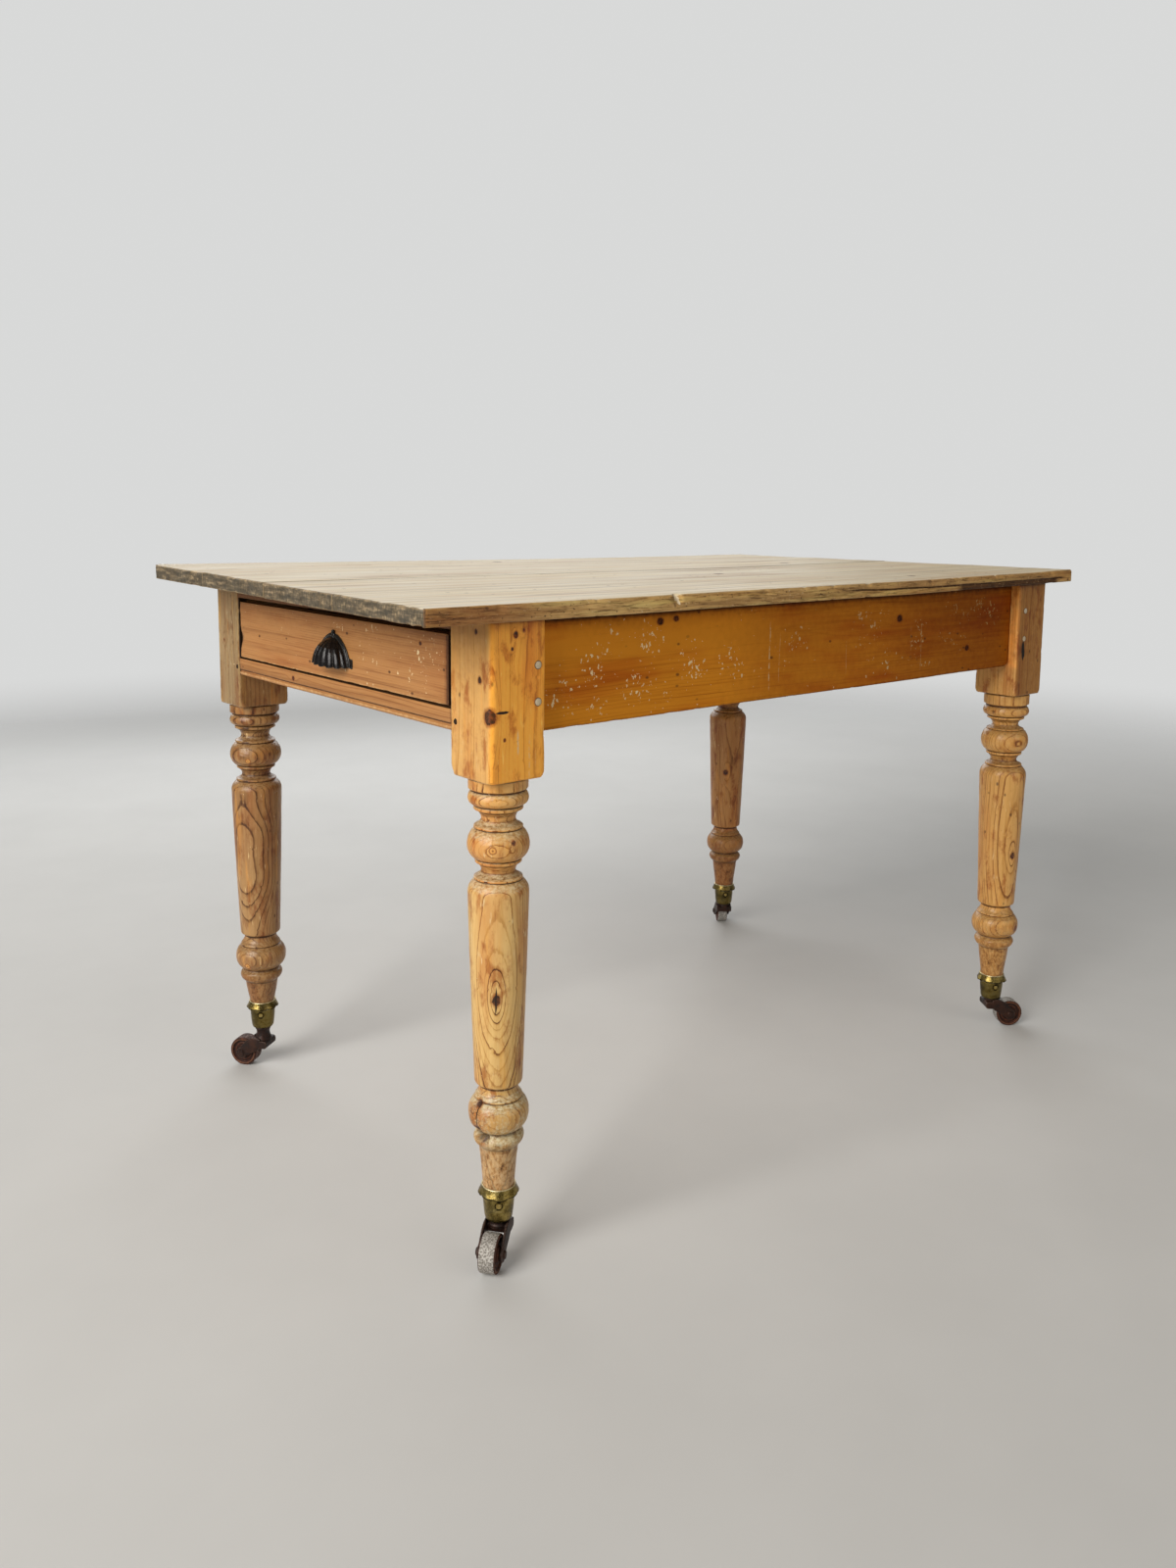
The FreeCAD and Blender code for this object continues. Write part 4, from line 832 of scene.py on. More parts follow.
def leg_mesh(key, seed):
    lx, ly, lift, _ = LEGS[key]
    rows = leg_rows(lift)
    # angles: close together at the four arrises
    half = np.concatenate([np.linspace(0, 36, 13)[:-1], np.linspace(36, 45, 9)])
    oct_ = np.concatenate([half, (90 - half[::-1])[1:]])[:-1]
    th = np.radians(np.concatenate([oct_ + 90 * q for q in range(4)]))
    n = len(th)
    Z = np.array([r[0] for r in rows])[:, None] * np.ones(n)
    Th = np.ones(len(rows))[:, None] * th
    turned = np.array([r[1] is not None for r in rows])
    Rp = np.array([r[1] if r[1] is not None else 1e3 for r in rows])[:, None] * np.ones(n)
    # square block with worn arrises
    q = np.floor(Th / (math.pi / 2)).astype(int)
    cx, cy = np.sign(np.cos(Th)), np.sign(np.sin(Th))
    flat = np.stack([Z * 0.02, q * 7.3, 0 * Z], -1).reshape(-1, 3)
    rn = fbm(flat * np.array([1.0, 1, 1]), 3, seed).reshape(Z.shape)
    rn2 = fbm(flat * np.array([3.6, 1, 1]) + 5, 2, seed + 3).reshape(Z.shape)
    ra = 4.4 + 1.2 * rn + 5.0 * np.clip(rn2 - 0.45, 0, 1)
    # crisp arris beside the drawer
    if key in ("drawer_left", "drawer_right"):
        ra = np.where(q == (2 if key == "drawer_left" else 1), 1.1 + 0.4 * rn, ra)
    if key == "drawer_right":
        # the arris towards the room is rubbed round
        ra = np.where(q == 2, 8.6 + 2.2 * rn + 5.0 * np.clip(rn2 - 0.4, 0, 1), ra)
    a = 37.0
    c, s = np.abs(np.cos(Th)), np.abs(np.sin(Th))
    k = a - ra
    flatR = a / np.maximum(c, s)
    hit = np.minimum(c, s) * flatR
    disc = np.maximum((k * (c + s)) ** 2 - 2 * k * k + ra * ra, 0)
    Rsq = np.where(hit > k, k * (c + s) + np.sqrt(disc), flatR)
    zb = Z - BLOCK_Z
    rb = 2.6
    inset = np.where(zb < rb, rb - np.sqrt(np.maximum(rb * rb - (rb - np.clip(zb, 0, rb)) ** 2, 0)), 0.0)
    zt = 742.6 - Z
    inset = inset + np.where(zt < 1.6, 1.6 - np.sqrt(np.maximum(1.6 ** 2 - (1.6 - np.clip(zt, 0, 1.6)) ** 2, 0)), 0.0)
    shoulder = 46.4 + 6.0 * np.sqrt(np.clip(zb / 15.0, 0, 1))
    Rb = np.minimum(Rsq - inset / np.maximum(c, s), shoulder)
    # the four legs were turned by eye: not all to the same thickness
    girth = {"drawer_right": 0.995, "drawer_left": 1.055, "far_right": 1.055, "far_left": 1.06}[key]
    ankle = smooth((Z - 96.0 - lift) / 30.0)
    R = np.where(turned[:, None], Rp * (1 + (girth - 1) * ankle), Rb)
    # a little out of round, hand turned; rubbed and bruised
    P3 = np.stack([R * np.cos(Th), R * np.sin(Th), Z], -1).reshape(-1, 3)
    lowf = fbm(P3 * 0.018, 2, seed + 11).reshape(Z.shape)
    midf = fbm(P3 * 0.09, 3, seed + 13).reshape(Z.shape)
    fine = fbm(P3 * 0.45, 2, seed + 17).reshape(Z.shape)
    bru = np.clip(fbm(P3 * 0.16, 2, seed + 19).reshape(Z.shape) - 0.46, 0, 1)
    grain = fbm(np.stack([Th.ravel() * 26, Z.ravel() * 0.02, 0 * Th.ravel()], 1), 2, seed + 23).reshape(Z.shape)
    amt = np.where(turned[:, None], 1.0, 0.75)
    R = R + amt * (0.32 * lowf + 0.20 * midf + 0.10 * fine + 0.10 * grain - 2.2 * bru)
    # bites out of the two rings, where the legs have been knocked
    wound = np.zeros(Z.shape)
    for (a0, z0, dz, da, dep) in {"drawer_right": ((-3.52, 156.6, 4.4, 0.50, 11.0), (-3.14, 153.4, 4.0, 0.36, 10.0), (-2.80, 156.0, 2.4, 0.20, 3.0), (-3.60, 181, 9, 0.16, 1.0), (-3.05, 166, 4.0, 0.16, 3.4), (-3.07, 195, 4.0, 0.15, 3.0),
                                                   (-3.02, 180, 12, 0.07, 1.3), (-1.2, 540, 4, 0.15, 1.0), (-2.3, 471, 3, 0.3, 1.0), (-2.95, 510, 2.6, 0.14, 2.0)),
                                  "drawer_left": ((-2.3, 149, 4, 0.3, 2.0), (-1.8, 542, 4, 0.2, 1.2)),
                                  "far_right": ((-2.4, 150, 4, 0.25, 2.2), (-2.0, 178, 8, 0.2, 1.0)),
                                  "far_left": ((-2.2, 149, 4, 0.3, 1.8), (1.0, 542, 5, 0.2, 1.2))}[key]:
        d = np.angle(np.exp(1j * (Th - a0)))
        hit_ = np.exp(-(d / da) ** 2 - ((Z - z0) / dz) ** 2) * (1 + 0.5 * midf)
        R = R - dep * hit_
        if dep > 2.9:
            wound = np.maximum(wound, hit_)
    R = np.where(Z < CUP_Z + lift + 1.0, Rp, R)
    V = np.stack([R * np.cos(Th), R * np.sin(Th), Z], -1).reshape(-1, 3)
    m = len(rows)
    i = np.arange(m - 1)[:, None] * n
    j = np.arange(n)[None]
    F = np.stack([i + j, i + n + j, i + n + (j + 1) % n, i + (j + 1) % n], -1).reshape(-1, 4)
    faces = [F, [list(range(n))], [list(range((m - 1) * n + n - 1, (m - 1) * n - 1, -1))]]
    # hollows of the turning darkened, as dirt and as painted shade in the coves: radius below its running mean over
    # height
    Rm = R.mean(1)
    zz = Z[:, 0]
    wide = np.array([np.mean(Rm[(np.abs(zz - z) < 7) & turned]) if turned[ii] else Rm[ii] for ii, z in enumerate(zz)])
    tight = np.array([np.mean(Rm[(np.abs(zz - z) < 2.6) & turned]) if turned[ii] else Rm[ii] for ii, z in enumerate(zz)])
    hollow = np.clip(np.clip((wide - Rm) / 6.5, 0, 0.6) + np.clip((tight - Rm) / 0.8, 0, 1), 0, 1) * turned
    crest = np.clip((Rm - wide) / 3.0, 0, 1) * turned
    dirt_and_shade = np.repeat(hollow, n)
    # up-facing slopes of the turning, for paler dust and a painted sheen of light from above
    slope = np.gradient(Rm, -zz + 1e-6 * np.arange(m))
    dust_and_sheen = np.clip(slope / np.sqrt(1 + slope ** 2), -1, 1) * turned
    dust_and_sheen = np.convolve(dust_and_sheen, np.ones(3) / 3, "same")
    dust_and_sheen = np.repeat(np.clip(dust_and_sheen, 0, 1), n)
    # crests of the turning and the rounded arrises lightened: wear, and a painted highlight on the rubbed arris
    cornr = np.where(turned[:, None], 0, np.clip((R - 41.0) / 8.5, 0, 1)).ravel()
    edge = np.maximum(np.repeat(crest, n) * 0.8, cornr)
    # block darker just under the top and at its foot: dirt, and painted shade under the top and in the crease
    dirt_and_shade = np.maximum(dirt_and_shade, (np.exp(-np.maximum(742.6 - Z, 0) / 5.0) * 0.6).ravel() * np.repeat(~turned, n))
    dirt_and_shade = np.maximum(dirt_and_shade, (np.exp(-np.abs(Z - BLOCK_Z + 0.5) / 1.4)).ravel())
    # thin dark lines at every fillet: painted shade in the creases of the turning
    line = np.zeros(Z.shape)
    for z0, wd, st in ((564.7, 0.7, 1.0), (550.4, 0.9, 1.0), (533.5, 0.6, 1.0), (528.6, 0.5, 0.75), (512.1, 0.45, 0.35), (508.1, 0.55, 1.0), (473.5, 0.6, 1.0), (469.0, 0.5, 0.7),
                       (454.4, 0.45, 0.4), (450.4, 0.55, 1.0), (212.8, 0.9, 1.0), (205.4, 0.45, 0.3), (197.0, 0.55, 0.95), (192.0, 0.4, 0.3), (159.4, 1.1, 1.0),
                       (140.9, 0.7, 0.9), (137.0, 0.45, 0.35), (CUP_Z + 0.6 + lift, 0.6, 0.7)):
        wave = 0.35 * np.sin(Th * 2 + z0) + 0.25 * midf
        line = np.maximum(line, st * np.exp(-((Z + wave * (st < 0.7) - z0) / wd) ** 2) * turned[:, None])
    line = line * (0.72 + 0.5 * np.clip(lowf, -0.5, 0.5))
    # the bites darkened inside: painted shade in the hollows
    line = np.maximum(line, 0.92 * smooth((wound - 0.20) / 0.45))
    # sides of the drawer opening painted near black: painted shade in the gap beside the drawer, with dirt
    gap = np.zeros(Z.shape)
    if key in ("drawer_left", "drawer_right"):
        face = -1 if key == "drawer_left" else 1
        inner = smooth((face * R * np.sin(Th) - 36.2) / 0.7)
        gap = inner * smooth((Z - 612.0) / 6.0) * (~turned)[:, None] * smooth((-18.0 - R * np.cos(Th)) / 8.0)
    # painted shade: side faces of two blocks turned from the light darker, and every block darker just under the top
    shade = np.zeros(Z.shape)
    flatf = ~turned[:, None] & (R * np.sin(Th) < -35.0)
    shade = np.where(flatf, {"far_right": 0.72, "drawer_left": 0.42}.get(key, 0.0), shade)
    shade = np.maximum(shade, np.where(~turned[:, None], np.exp(-np.maximum(742.6 - Z, 0) / 7.0) * 0.8, 0.0))
    # the near block's face towards the light darker towards the top: painted shadow of the overhang
    if key == "drawer_right":
        overhang_shadow = smooth((-R * np.cos(Th) - 33.0) / 4.0) * (0.10 + 0.30 * smooth((Z - 600.0) / 150.0))
        shade = np.maximum(shade, np.where(turned[:, None], 0.0, overhang_shadow))
    # block faces recoloured for the light on them: painted light
    face_light = smooth((-R * np.sin(Th) - 31.0) / 5.0) * ~turned[:, None]
    if key == "drawer_left":
        face_light = smooth((-R * np.cos(Th) - 33.0) / 4.0) * ~turned[:, None]
    if key == "far_right":
        # the strip of leg beside the apron, facing the light, painted brighter: painted light
        face_light = smooth((-R * np.cos(Th) - 33.5) / 3.0) * smooth((Z - 606.0) / 10.0) * ~turned[:, None] * (0.75 + 0.5 * np.clip(midf, -0.5, 0.5))
    # a near black line on the block faces right under the top: painted shadow
    if key in ("far_right", "drawer_right"):
        under_top_shadow = np.exp(-(np.maximum(742.6 - Z, 0) / (3.6 if key == "far_right" else 2.2)) ** 2) * (R * np.sin(Th) < -34.0)
        gap = np.maximum(gap, 0.92 * np.where(turned[:, None], 0.0, under_top_shadow))
    if key == "far_right":
        V[:, 2] = np.interp(V[:, 2], (0, 400, 436, 450, 460, 468, 490, 505, 512, 520, 533.5, 550, 565, 800),
                            (0, 397.6, 430.4, 445.8, 455.8, 463.4, 488.0, 503.6, 508.2, 515.4, 527.4, 544, 565, 800))
    V = follow(V * 0.001 + np.array([lx, ly, 0.0]))
    return V, faces, {"edge": edge, "dirt_and_shade": dirt_and_shade, "dust_and_sheen": dust_and_sheen, "line": np.clip(line, 0, 1).ravel(), "gap": gap.ravel(), "shade": shade.ravel(),
                      "face_light": np.clip(face_light, 0, 1).ravel()}


LEGW = dict(along="Z", pale=(230, 170, 84), mid=(212, 146, 58), late=(168, 100, 32), deep=(104, 54, 16), contrast=1.00, fibre=0.64, tone=0.62,
            stains=0.62, grime_and_shade=0.95, wear_and_highlight=0.26, wear_and_highlight_col=(234, 184, 106), rough=(0.26, 0.45), shine=0.42, dots=0.5, bump=0.4, wander=0.007,
            worm=0.4, dust_and_sheen=0.95, ankle=0.92, scuffs=0.80, flecks=0.30, calm=0.555)
LEG_KNOTS = {
    "drawer_right": [(-0.518, -0.3435, 0.6375, 0.0072, "A"), (-0.518, -0.3285, 0.6755, 0.0036, "A"), (-0.505, -0.336, 0.320, 0.0062, "A"),
                     (-0.476, -0.345, 0.728, 0.0026, "A"), (-0.5105, -0.3125, 0.1955, 0.0040, "A"),
                     (-0.5127, -0.3139, 0.1655, 0.0048, "A"), (-0.4865, -0.347, 0.7235, 0.0030, "A"), (-0.520, -0.322, 0.7265, 0.0024, "A"), (-0.491, -0.347, 0.7085, 0.0016, "A"),
                     (-0.4865, -0.3438, 0.4975, 0.0024, "A"), (-0.501, -0.3465, 0.612, 0.0017, "A")],
    "drawer_left": [(-0.5175, 0.325, 0.660, 0.0030, "A")],
    "far_right": [(0.5335, -0.3440, 0.176, 0.0042, "A"), (0.520, -0.343, 0.300, 0.005, "A")],
    "far_left": [(0.505, 0.290, 0.33, 0.005, "A"), (0.560, 0.325, 0.62, 0.006, "A")],
}
LEG_OPT = {
    "drawer_right": dict(seed=3, pith=(0.030, 0.042), ring=0.0027, pale=(222, 172, 102), mid=(202, 148, 78), late=(154, 98, 44), deep=(94, 52, 22), face_light_mul=(1.46, 1.18, 0.50), shaft_mul=(1.01, 1.16, 1.34),
                         eyes=[(-0.508, -0.3345, 0.490, 0.0042)], burls=[(-0.5150, -0.3120, 0.180, 0.019, 1.0), (-0.509, -0.3165, 0.153, 0.010, 1.0), (-0.4865, -0.3445, 0.4985, 0.012, 0.5)], swell=[(0.325, 0.105, 0.011), (0.487, 0.05, 0.004)],
                         scratches=[((0, 2), -0.4835, 0.0017, 0.590, 0.624, 0.9, 0.006), ((0, 2), -0.4685, 0.0009, 0.560, 0.616, 0.65, 0.003),
                                    ((0, 2), -0.4600, 0.0007, 0.565, 0.600, 0.4, 0.003), ((1, 2), -0.322, 0.0008, 0.57, 0.61, 0.4, 0.004)],
                         slots=[((2, 0), 0.6415, 0.0016, -0.5135, -0.494), ((0, 2), -0.503, 0.0007, 0.300, 0.338), ((1, 2), -0.3142, 0.0009, 0.162, 0.198)]),
    "drawer_left": dict(seed=17, pith=(0.046, 0.0285), ring=0.0034, contrast=0.95, swell=[(0.305, 0.050, 0.011), (0.372, 0.035, 0.007)], pale=(174, 134, 86), mid=(152, 112, 66), late=(104, 68, 36), deep=(60, 34, 16),
                        eyes=[(-0.5075, 0.2835, 0.484, 0.0036), (-0.5135, 0.292, 0.170, 0.0044)],
                        ankle_col=(150, 118, 82), dust_and_sheen_col=(158, 130, 94), shade_mul=(168, 136, 72), face_light_mul=(0.89, 1.09, 1.45)),
    "far_right": dict(seed=29, pith=(0.020, 0.050), ring=0.0034, swell=[(0.30, 0.12, 0.009)], slots=[((0, 2), 0.5075, 0.0038, 0.620, 0.656)], face_light_mul=(1.42, 1.24, 1.05),
                      eyes=[(0.4925, -0.2995, 0.587, 0.0024)], burls=[(0.5335, -0.3430, 0.177, 0.012, 0.8)], pale=(222, 170, 98), mid=(200, 144, 72), late=(150, 92, 40), deep=(92, 50, 20),
                      shade_mul=(170, 140, 104), ankle_col=(196, 160, 108), dust_and_sheen_col=(190, 156, 104)),
    "far_left": dict(seed=41, pith=(0.02, 0.045), ring=0.0034, contrast=0.6, pale=(184, 132, 74), mid=(160, 108, 54), late=(114, 70, 30), deep=(72, 40, 16),
                     ankle_col=(160, 122, 78), dust_and_sheen_col=(166, 134, 90)),
}
for i, key in enumerate(LEGS):
    lx, ly, lift, _ = LEGS[key]
    opt = dict(LEGW)
    opt.update(LEG_OPT[key])
    M["leg_" + key] = pine("waxed_pine_leg_" + key, origin=(lx, ly, 0.0), knots=LEG_KNOTS[key], **opt)
    V, F, at = leg_mesh(key, 100 + 31 * i)
    make("leg_%s_turned" % key, V, F, M["leg_" + key], "table", ["leg_" + key], at)


# ---------------------------------------------------------------- aprons
def worn_box(lo, hi, steps, radii, seed, hollow=0.0005, ends=(0, .0004, .0009, .0015, .0022, .003, .0045)):
    """A sawn and planed board: uneven arrises, faint hollows. radii: edges by axis pair."""
    lo, hi = np.array(lo), np.array(hi)
    P0, F = lattice(*(axis(lo[i], hi[i], steps[i], ends) for i in range(3)))
    P = P0.copy()
    for (a, b), r in radii.items():
        other = 3 - a - b
        q = np.zeros_like(P0)
        q[:, 0] = P0[:, other]
        q[:, 1] = np.sign(P0[:, a] - (lo[a] + hi[a]) / 2) * 2
        q[:, 2] = np.sign(P0[:, b] - (lo[b] + hi[b]) / 2) * 3
        n1 = fbm(q * np.array([12, 1, 1]), 3, seed + a * 3 + b)
        n2 = np.clip(fbm(q * np.array([80, 1, 1]), 2, seed + 40 + a * 3 + b) - 0.42, 0, 1)
        round2(P, a, b, lo, hi, np.clip(r * (1 + 0.45 * n1) + 4.5 * r * n2, 0.0003, 0.006))
    D = fbm(P0 * 11.0, 3, seed + 5)
    mid = (lo + hi) / 2
    thin = int(np.argmin(hi - lo))
    P[:, thin] += np.sign(P0[:, thin] - mid[thin]) * hollow * D
    return P0, P, F, {"edge": edge_near(P0, lo, hi, 0.003), "dirt_and_shade": np.zeros(len(P0))}


APRON = dict(pale=(216, 138, 32), mid=(194, 117, 20), late=(140, 77, 11), deep=(80, 39, 6), contrast=0.36, fibre=0.50, tone=0.95, stains=0.7,
             grime_and_shade=0.85, wear_and_highlight=0.28, wear_and_highlight_col=(200, 140, 70), rough=(0.40, 0.60), shine=0.10, dots=0.45, bump=0.3, wander=0.016, shade_mul=(158, 125, 64))
for side, sy in (("right", -1), ("left", 1)):
    y0, y1 = sorted((sy * 0.309, sy * 0.331))
    lo, hi = (-0.446, y0, 0.613), (0.492, y1, 0.743)
    P0, P, F, at = worn_box(lo, hi, (0.0055, 0.0045, 0.0050), {(1, 2): 0.0016, (0, 1): 0.0006, (0, 2): 0.0005}, 300 + sy)
    x, y, z = P0.T
    low = smooth((0.632 - z) / 0.018)
    P[:, 2] += low * 0.0009 * fbm(np.stack([x * 6, 0 * x, 0 * x], 1), 3, 311 + sy)
    rc = 0.011
    dc_ = np.clip((x - (0.492 - rc)) / rc, 0, 1)
    P[:, 2] += (rc - rc * np.sqrt(np.maximum(1 - dc_ ** 2, 0))) * smooth((0.640 - z) / 0.027)
    # darker under the top, along the lower edge and against the legs: dirt, and painted shade under the top's overhang
    at["dirt_and_shade"] = np.maximum(np.exp(-(0.743 - z) / 0.012) * 1.0, np.exp(-(z - 0.613) / 0.0035) * 0.75)
    at["dirt_and_shade"] = np.maximum(at["dirt_and_shade"], np.exp(-np.minimum(x + 0.446, 0.492 - x) / 0.006) * 0.7)
    at["edge"] = at["edge"] * np.where(z > 0.70, 0.2, 1.0) * np.where(np.minimum(x + 0.446, 0.492 - x) < 0.004, 0.0, 1.0)
    sag = np.minimum(warp(x, 0 * x - 0.35), 0.0)
    # a near black line right under the top: painted shadow of the top; below it darker, and darker towards the far end:
    # painted shade
    at["gap"] = np.exp(-(np.maximum(0.7428 + sag - z, 0) / (0.0030 + 0.0018 * smooth(x / 0.3))) ** 2) * 0.92
    at["shade"] = np.maximum(0.75 * np.exp(-np.maximum(0.7428 + sag - z, 0) / 0.010), 0.42 * smooth((x + 0.22) / 0.20) + 0.40 * smooth((x - 0.05) / 0.40))
    follow(P)
    yf = sy * 0.331
    M["apron_" + side] = pine(
        "waxed_pine_apron_" + side, along="X", seed=51 + sy, pith=(sy * 0.36, 0.700), ring=0.0042,
        knots=[(0.203, yf, 0.7037, 0.0050, "Y"), (-0.2637, yf, 0.7244, 0.0042, "Y"), (-0.238, yf, 0.7265, 0.0035, "Y"), (0.375, yf, 0.650, 0.004, "Y")],
        flecks=0.82, fleck_spots=[(-0.142, yf, 0.664, 0.045, 1.0), (-0.369, yf, 0.6845, 0.055, 1.0), (-0.2805, yf, 0.7068, 0.040, 1.0),
                                  (-0.204, yf, 0.666, 0.045, 1.0), (-0.02, yf, 0.69, 0.04, 0.9), (0.33, yf, 0.67, 0.04, 1.0), (0.405, yf, 0.712, 0.036, 1.0), (0.25, yf, 0.68, 0.04, 1.0), (0.18, yf, 0.645, 0.035, 0.9), (-0.30, yf, 0.655, 0.05, 0.9),
                                  (-0.41, yf, 0.652, 0.045, 1.0), (0.44, yf, 0.70, 0.035, 1.0), (0.12, yf, 0.71, 0.04, 1.0), (-0.36, yf, 0.635, 0.03, 1.0)],
        scratches=[((0, 2), -0.071, 0.0016, 0.622, 0.716, 0.75, 0.004), ((0, 2), 0.2575, 0.0014, 0.622, 0.706, 0.6, 0.004),
                   ((0, 2), -0.052, 0.0010, 0.630, 0.700, 0.4, 0.004), ((0, 2), 0.232, 0.0009, 0.64, 0.70, 0.35, 0.004),
                   ((0, 2), 0.085, 0.0009, 0.63, 0.69, 0.35, 0.005)], **APRON)
    make("side_rail_%s_worn" % side, P, F, M["apron_" + side], "table", ["side_rail_" + side], at)

lo, hi = (0.528, -0.273, 0.613), (0.550, 0.273, 0.743)
P0, P, F, at = worn_box(lo, hi, (0.0045, 0.0055, 0.0050), {(0, 2): 0.0016, (0, 1): 0.0006, (1, 2): 0.0005}, 330)
z = P0[:, 2]
# darker under the top and along the lower edge: dirt, and painted shade under the top's overhang
at["dirt_and_shade"] = np.maximum(np.exp(-(0.743 - z) / 0.012), np.exp(-(z - 0.613) / 0.0035) * 0.75)
follow(P)
M["apron_end"] = pine("waxed_pine_apron_end", along="Y", seed=63, pith=(0.60, 0.665), ring=0.0040,
                      knots=[(0.550, 0.11, 0.69, 0.006, "X"), (0.550, -0.19, 0.645, 0.0045, "X")], flecks=0.5,
                      fleck_spots=[(0.55, -0.08, 0.66, 0.04, 0.8), (0.55, 0.2, 0.7, 0.035, 0.7)], **APRON)
make("end_rail_far_worn", P, F, M["apron_end"], "table", ["end_rail_far"], at)

# ---------------------------------------------------------------- rail under the drawer, with its scratched bead
XF = -0.520
DRW = dict(along="Y", pale=(180, 128, 76), mid=(157, 105, 58), late=(122, 76, 38), deep=(82, 48, 22), contrast=0.45, fibre=0.5, tone=0.5,
           stains=0.35, grime_and_shade=0.8, wear_and_highlight=0.5, wear_and_highlight_col=(226, 186, 130), rough=(0.42, 0.62), shine=0.4, dots=0.6, bump=0.35, streaks=0.42)
sec = [(-0.465, 0.613), (-0.465, 0.6376)]
sec += [(-0.465 + (XF + 0.0012 - -0.465) * i / 10, 0.6376) for i in range(1, 11)]
sec += [(XF + 0.0006, 0.6374), (XF + 0.0002, 0.6369), (XF, 0.6362)]
sec += [(XF, 0.6362 + (0.6230 - 0.6362) * i / 7) for i in range(1, 8)]
sec += [(XF + 0.0003, 0.6224), (XF + 0.0011, 0.6219), (XF + 0.0016, 0.6213), (XF + 0.0012, 0.6207)]
bead = [(XF + 0.0036 + 0.0036 * math.cos(a), 0.6171 + 0.0036 * math.sin(a)) for a in np.radians(np.linspace(118, 262, 13))]
sec += bead
sec += [(XF + 0.0045, 0.6131), (XF + 0.0060, 0.6130)]
sec += [(XF + 0.0060 + (-0.465 - XF - 0.0060) * i / 8, 0.6130) for i in range(1, 8)]
sec = np.array(sec)[::-1]
ny = 170
ys = np.linspace(-0.2732, 0.2732, ny)
S = np.repeat(sec[None], ny, 0)
Y = np.repeat(ys[:, None], len(sec), 1)
P0 = np.stack([S[..., 0], Y, S[..., 1]], -1).reshape(-1, 3)
P = P0.copy()
frontness = smooth((XF + 0.006 - P0[:, 0]) / 0.006)
P[:, 0] += frontness * (0.0004 * fbm(P0 * np.array([0, 16, 60]), 3, 401) + 0.0009 * np.clip(fbm(P0 * np.array([0, 55, 40]), 2, 403) - 0.4, 0, 1))
P[:, 2] += frontness * 0.0004 * fbm(P0 * np.array([0, 9, 0]), 2, 404)
k = len(sec)
i = np.arange(ny - 1)[:, None] * k
j = np.arange(k)[None]
F = np.stack([i + j, i + (j + 1) % k, i + k + (j + 1) % k, i + k + j], -1).reshape(-1, 4)
z = P0[:, 2]
# a dark line in the quirk above the bead: painted shade in the groove
quirk = np.exp(-((z - 0.6214) / 0.0010) ** 2) * frontness
beadm = np.exp(-((z - 0.6172) / 0.0026) ** 2) * frontness
# the top of the rail behind the drawer front near black: painted shade under the drawer
rail_top_shadow = np.where(z > 0.63745, 0.95, 0.0) * smooth((XF + 0.013 - P0[:, 0]) / 0.008)
at = {"gap": np.clip(rail_top_shadow, 0, 1), "line": quirk, "dirt_and_shade": np.maximum(quirk, np.exp(-np.minimum(P0[:, 1] + 0.2732, 0.2732 - P0[:, 1]) / 0.004) * 0.7), "edge": np.maximum(beadm * 0.85, np.exp(-(0.6376 - z) / 0.0012) * frontness * 0.7)}
M["rail_lower"] = pine("drawer_pine_lower_rail", seed=71, pith=(-0.56, 0.60), ring=0.0036, knots=[(XF, 0.105, 0.628, 0.003, "X")], **DRW)
make("drawer_rail_lower_beaded", P, [F, [list(range(k))[::-1]], [list(range((ny - 1) * k, ny * k))]], M["rail_lower"], "table",
     ["drawer_rail_lower"], at)


# ---------------------------------------------------------------- drawer front
def prism_cutter(prisms):
    """One mesh of closed prisms: each is (list of (x, z), y0, y1)."""
    V, F = [], []
    for pts, y0, y1 in prisms:
        y0, y1 = min(y0, y1), max(y0, y1)
        area = sum(p[0] * q[1] - q[0] * p[1] for p, q in zip(pts, pts[1:] + pts[:1]))
        if area < 0:
            pts = pts[::-1]
        b, n = len(V), len(pts)
        V += [(px, y0, pz) for px, pz in pts] + [(px, y1, pz) for px, pz in pts]
        F += [list(range(b, b + n)), list(range(b + 2 * n - 1, b + n - 1, -1))]
        F += [[b + q, b + n + q, b + n + (q + 1) % n, b + (q + 1) % n] for q in range(n)]
    me = bpy.data.meshes.new("cutter")
    me.from_pydata(V, [], F)
    ob = bpy.data.objects.new("cutter", me)
    scene.collection.objects.link(ob)
    return ob


def baked(ob):
    """Replaces the object's mesh by its evaluated one and drops the modifiers."""
    dg = bpy.context.evaluated_depsgraph_get()
    dg.update()
    new = bpy.data.meshes.new_from_object(ob.evaluated_get(dg), preserve_all_data_layers=True, depsgraph=dg)
    old = ob.data
    ob.modifiers.clear()
    ob.data = new
    bpy.data.meshes.remove(old)
    return ob


lo, hi = (XF, -0.268, 0.6406), (-0.498, 0.268, 0.7190)
P0, P, F, at = worn_box(lo, hi, (0.0045, 0.0048, 0.0040), {(0, 2): 0.0012, (0, 1): 0.0013, (1, 2): 0.0008}, 350, 0.0003)
x, y, z = P0.T
face = smooth((XF + 0.008 - x) / 0.008)
# a chip at one end and small bites along the lower and upper arrises
chip = np.exp(-((y - 0.268) / 0.006) ** 2 - ((z - 0.668) / 0.012) ** 2)
P[:, 0] += face * chip * 0.0022
P[:, 1] -= face * chip * 0.0016
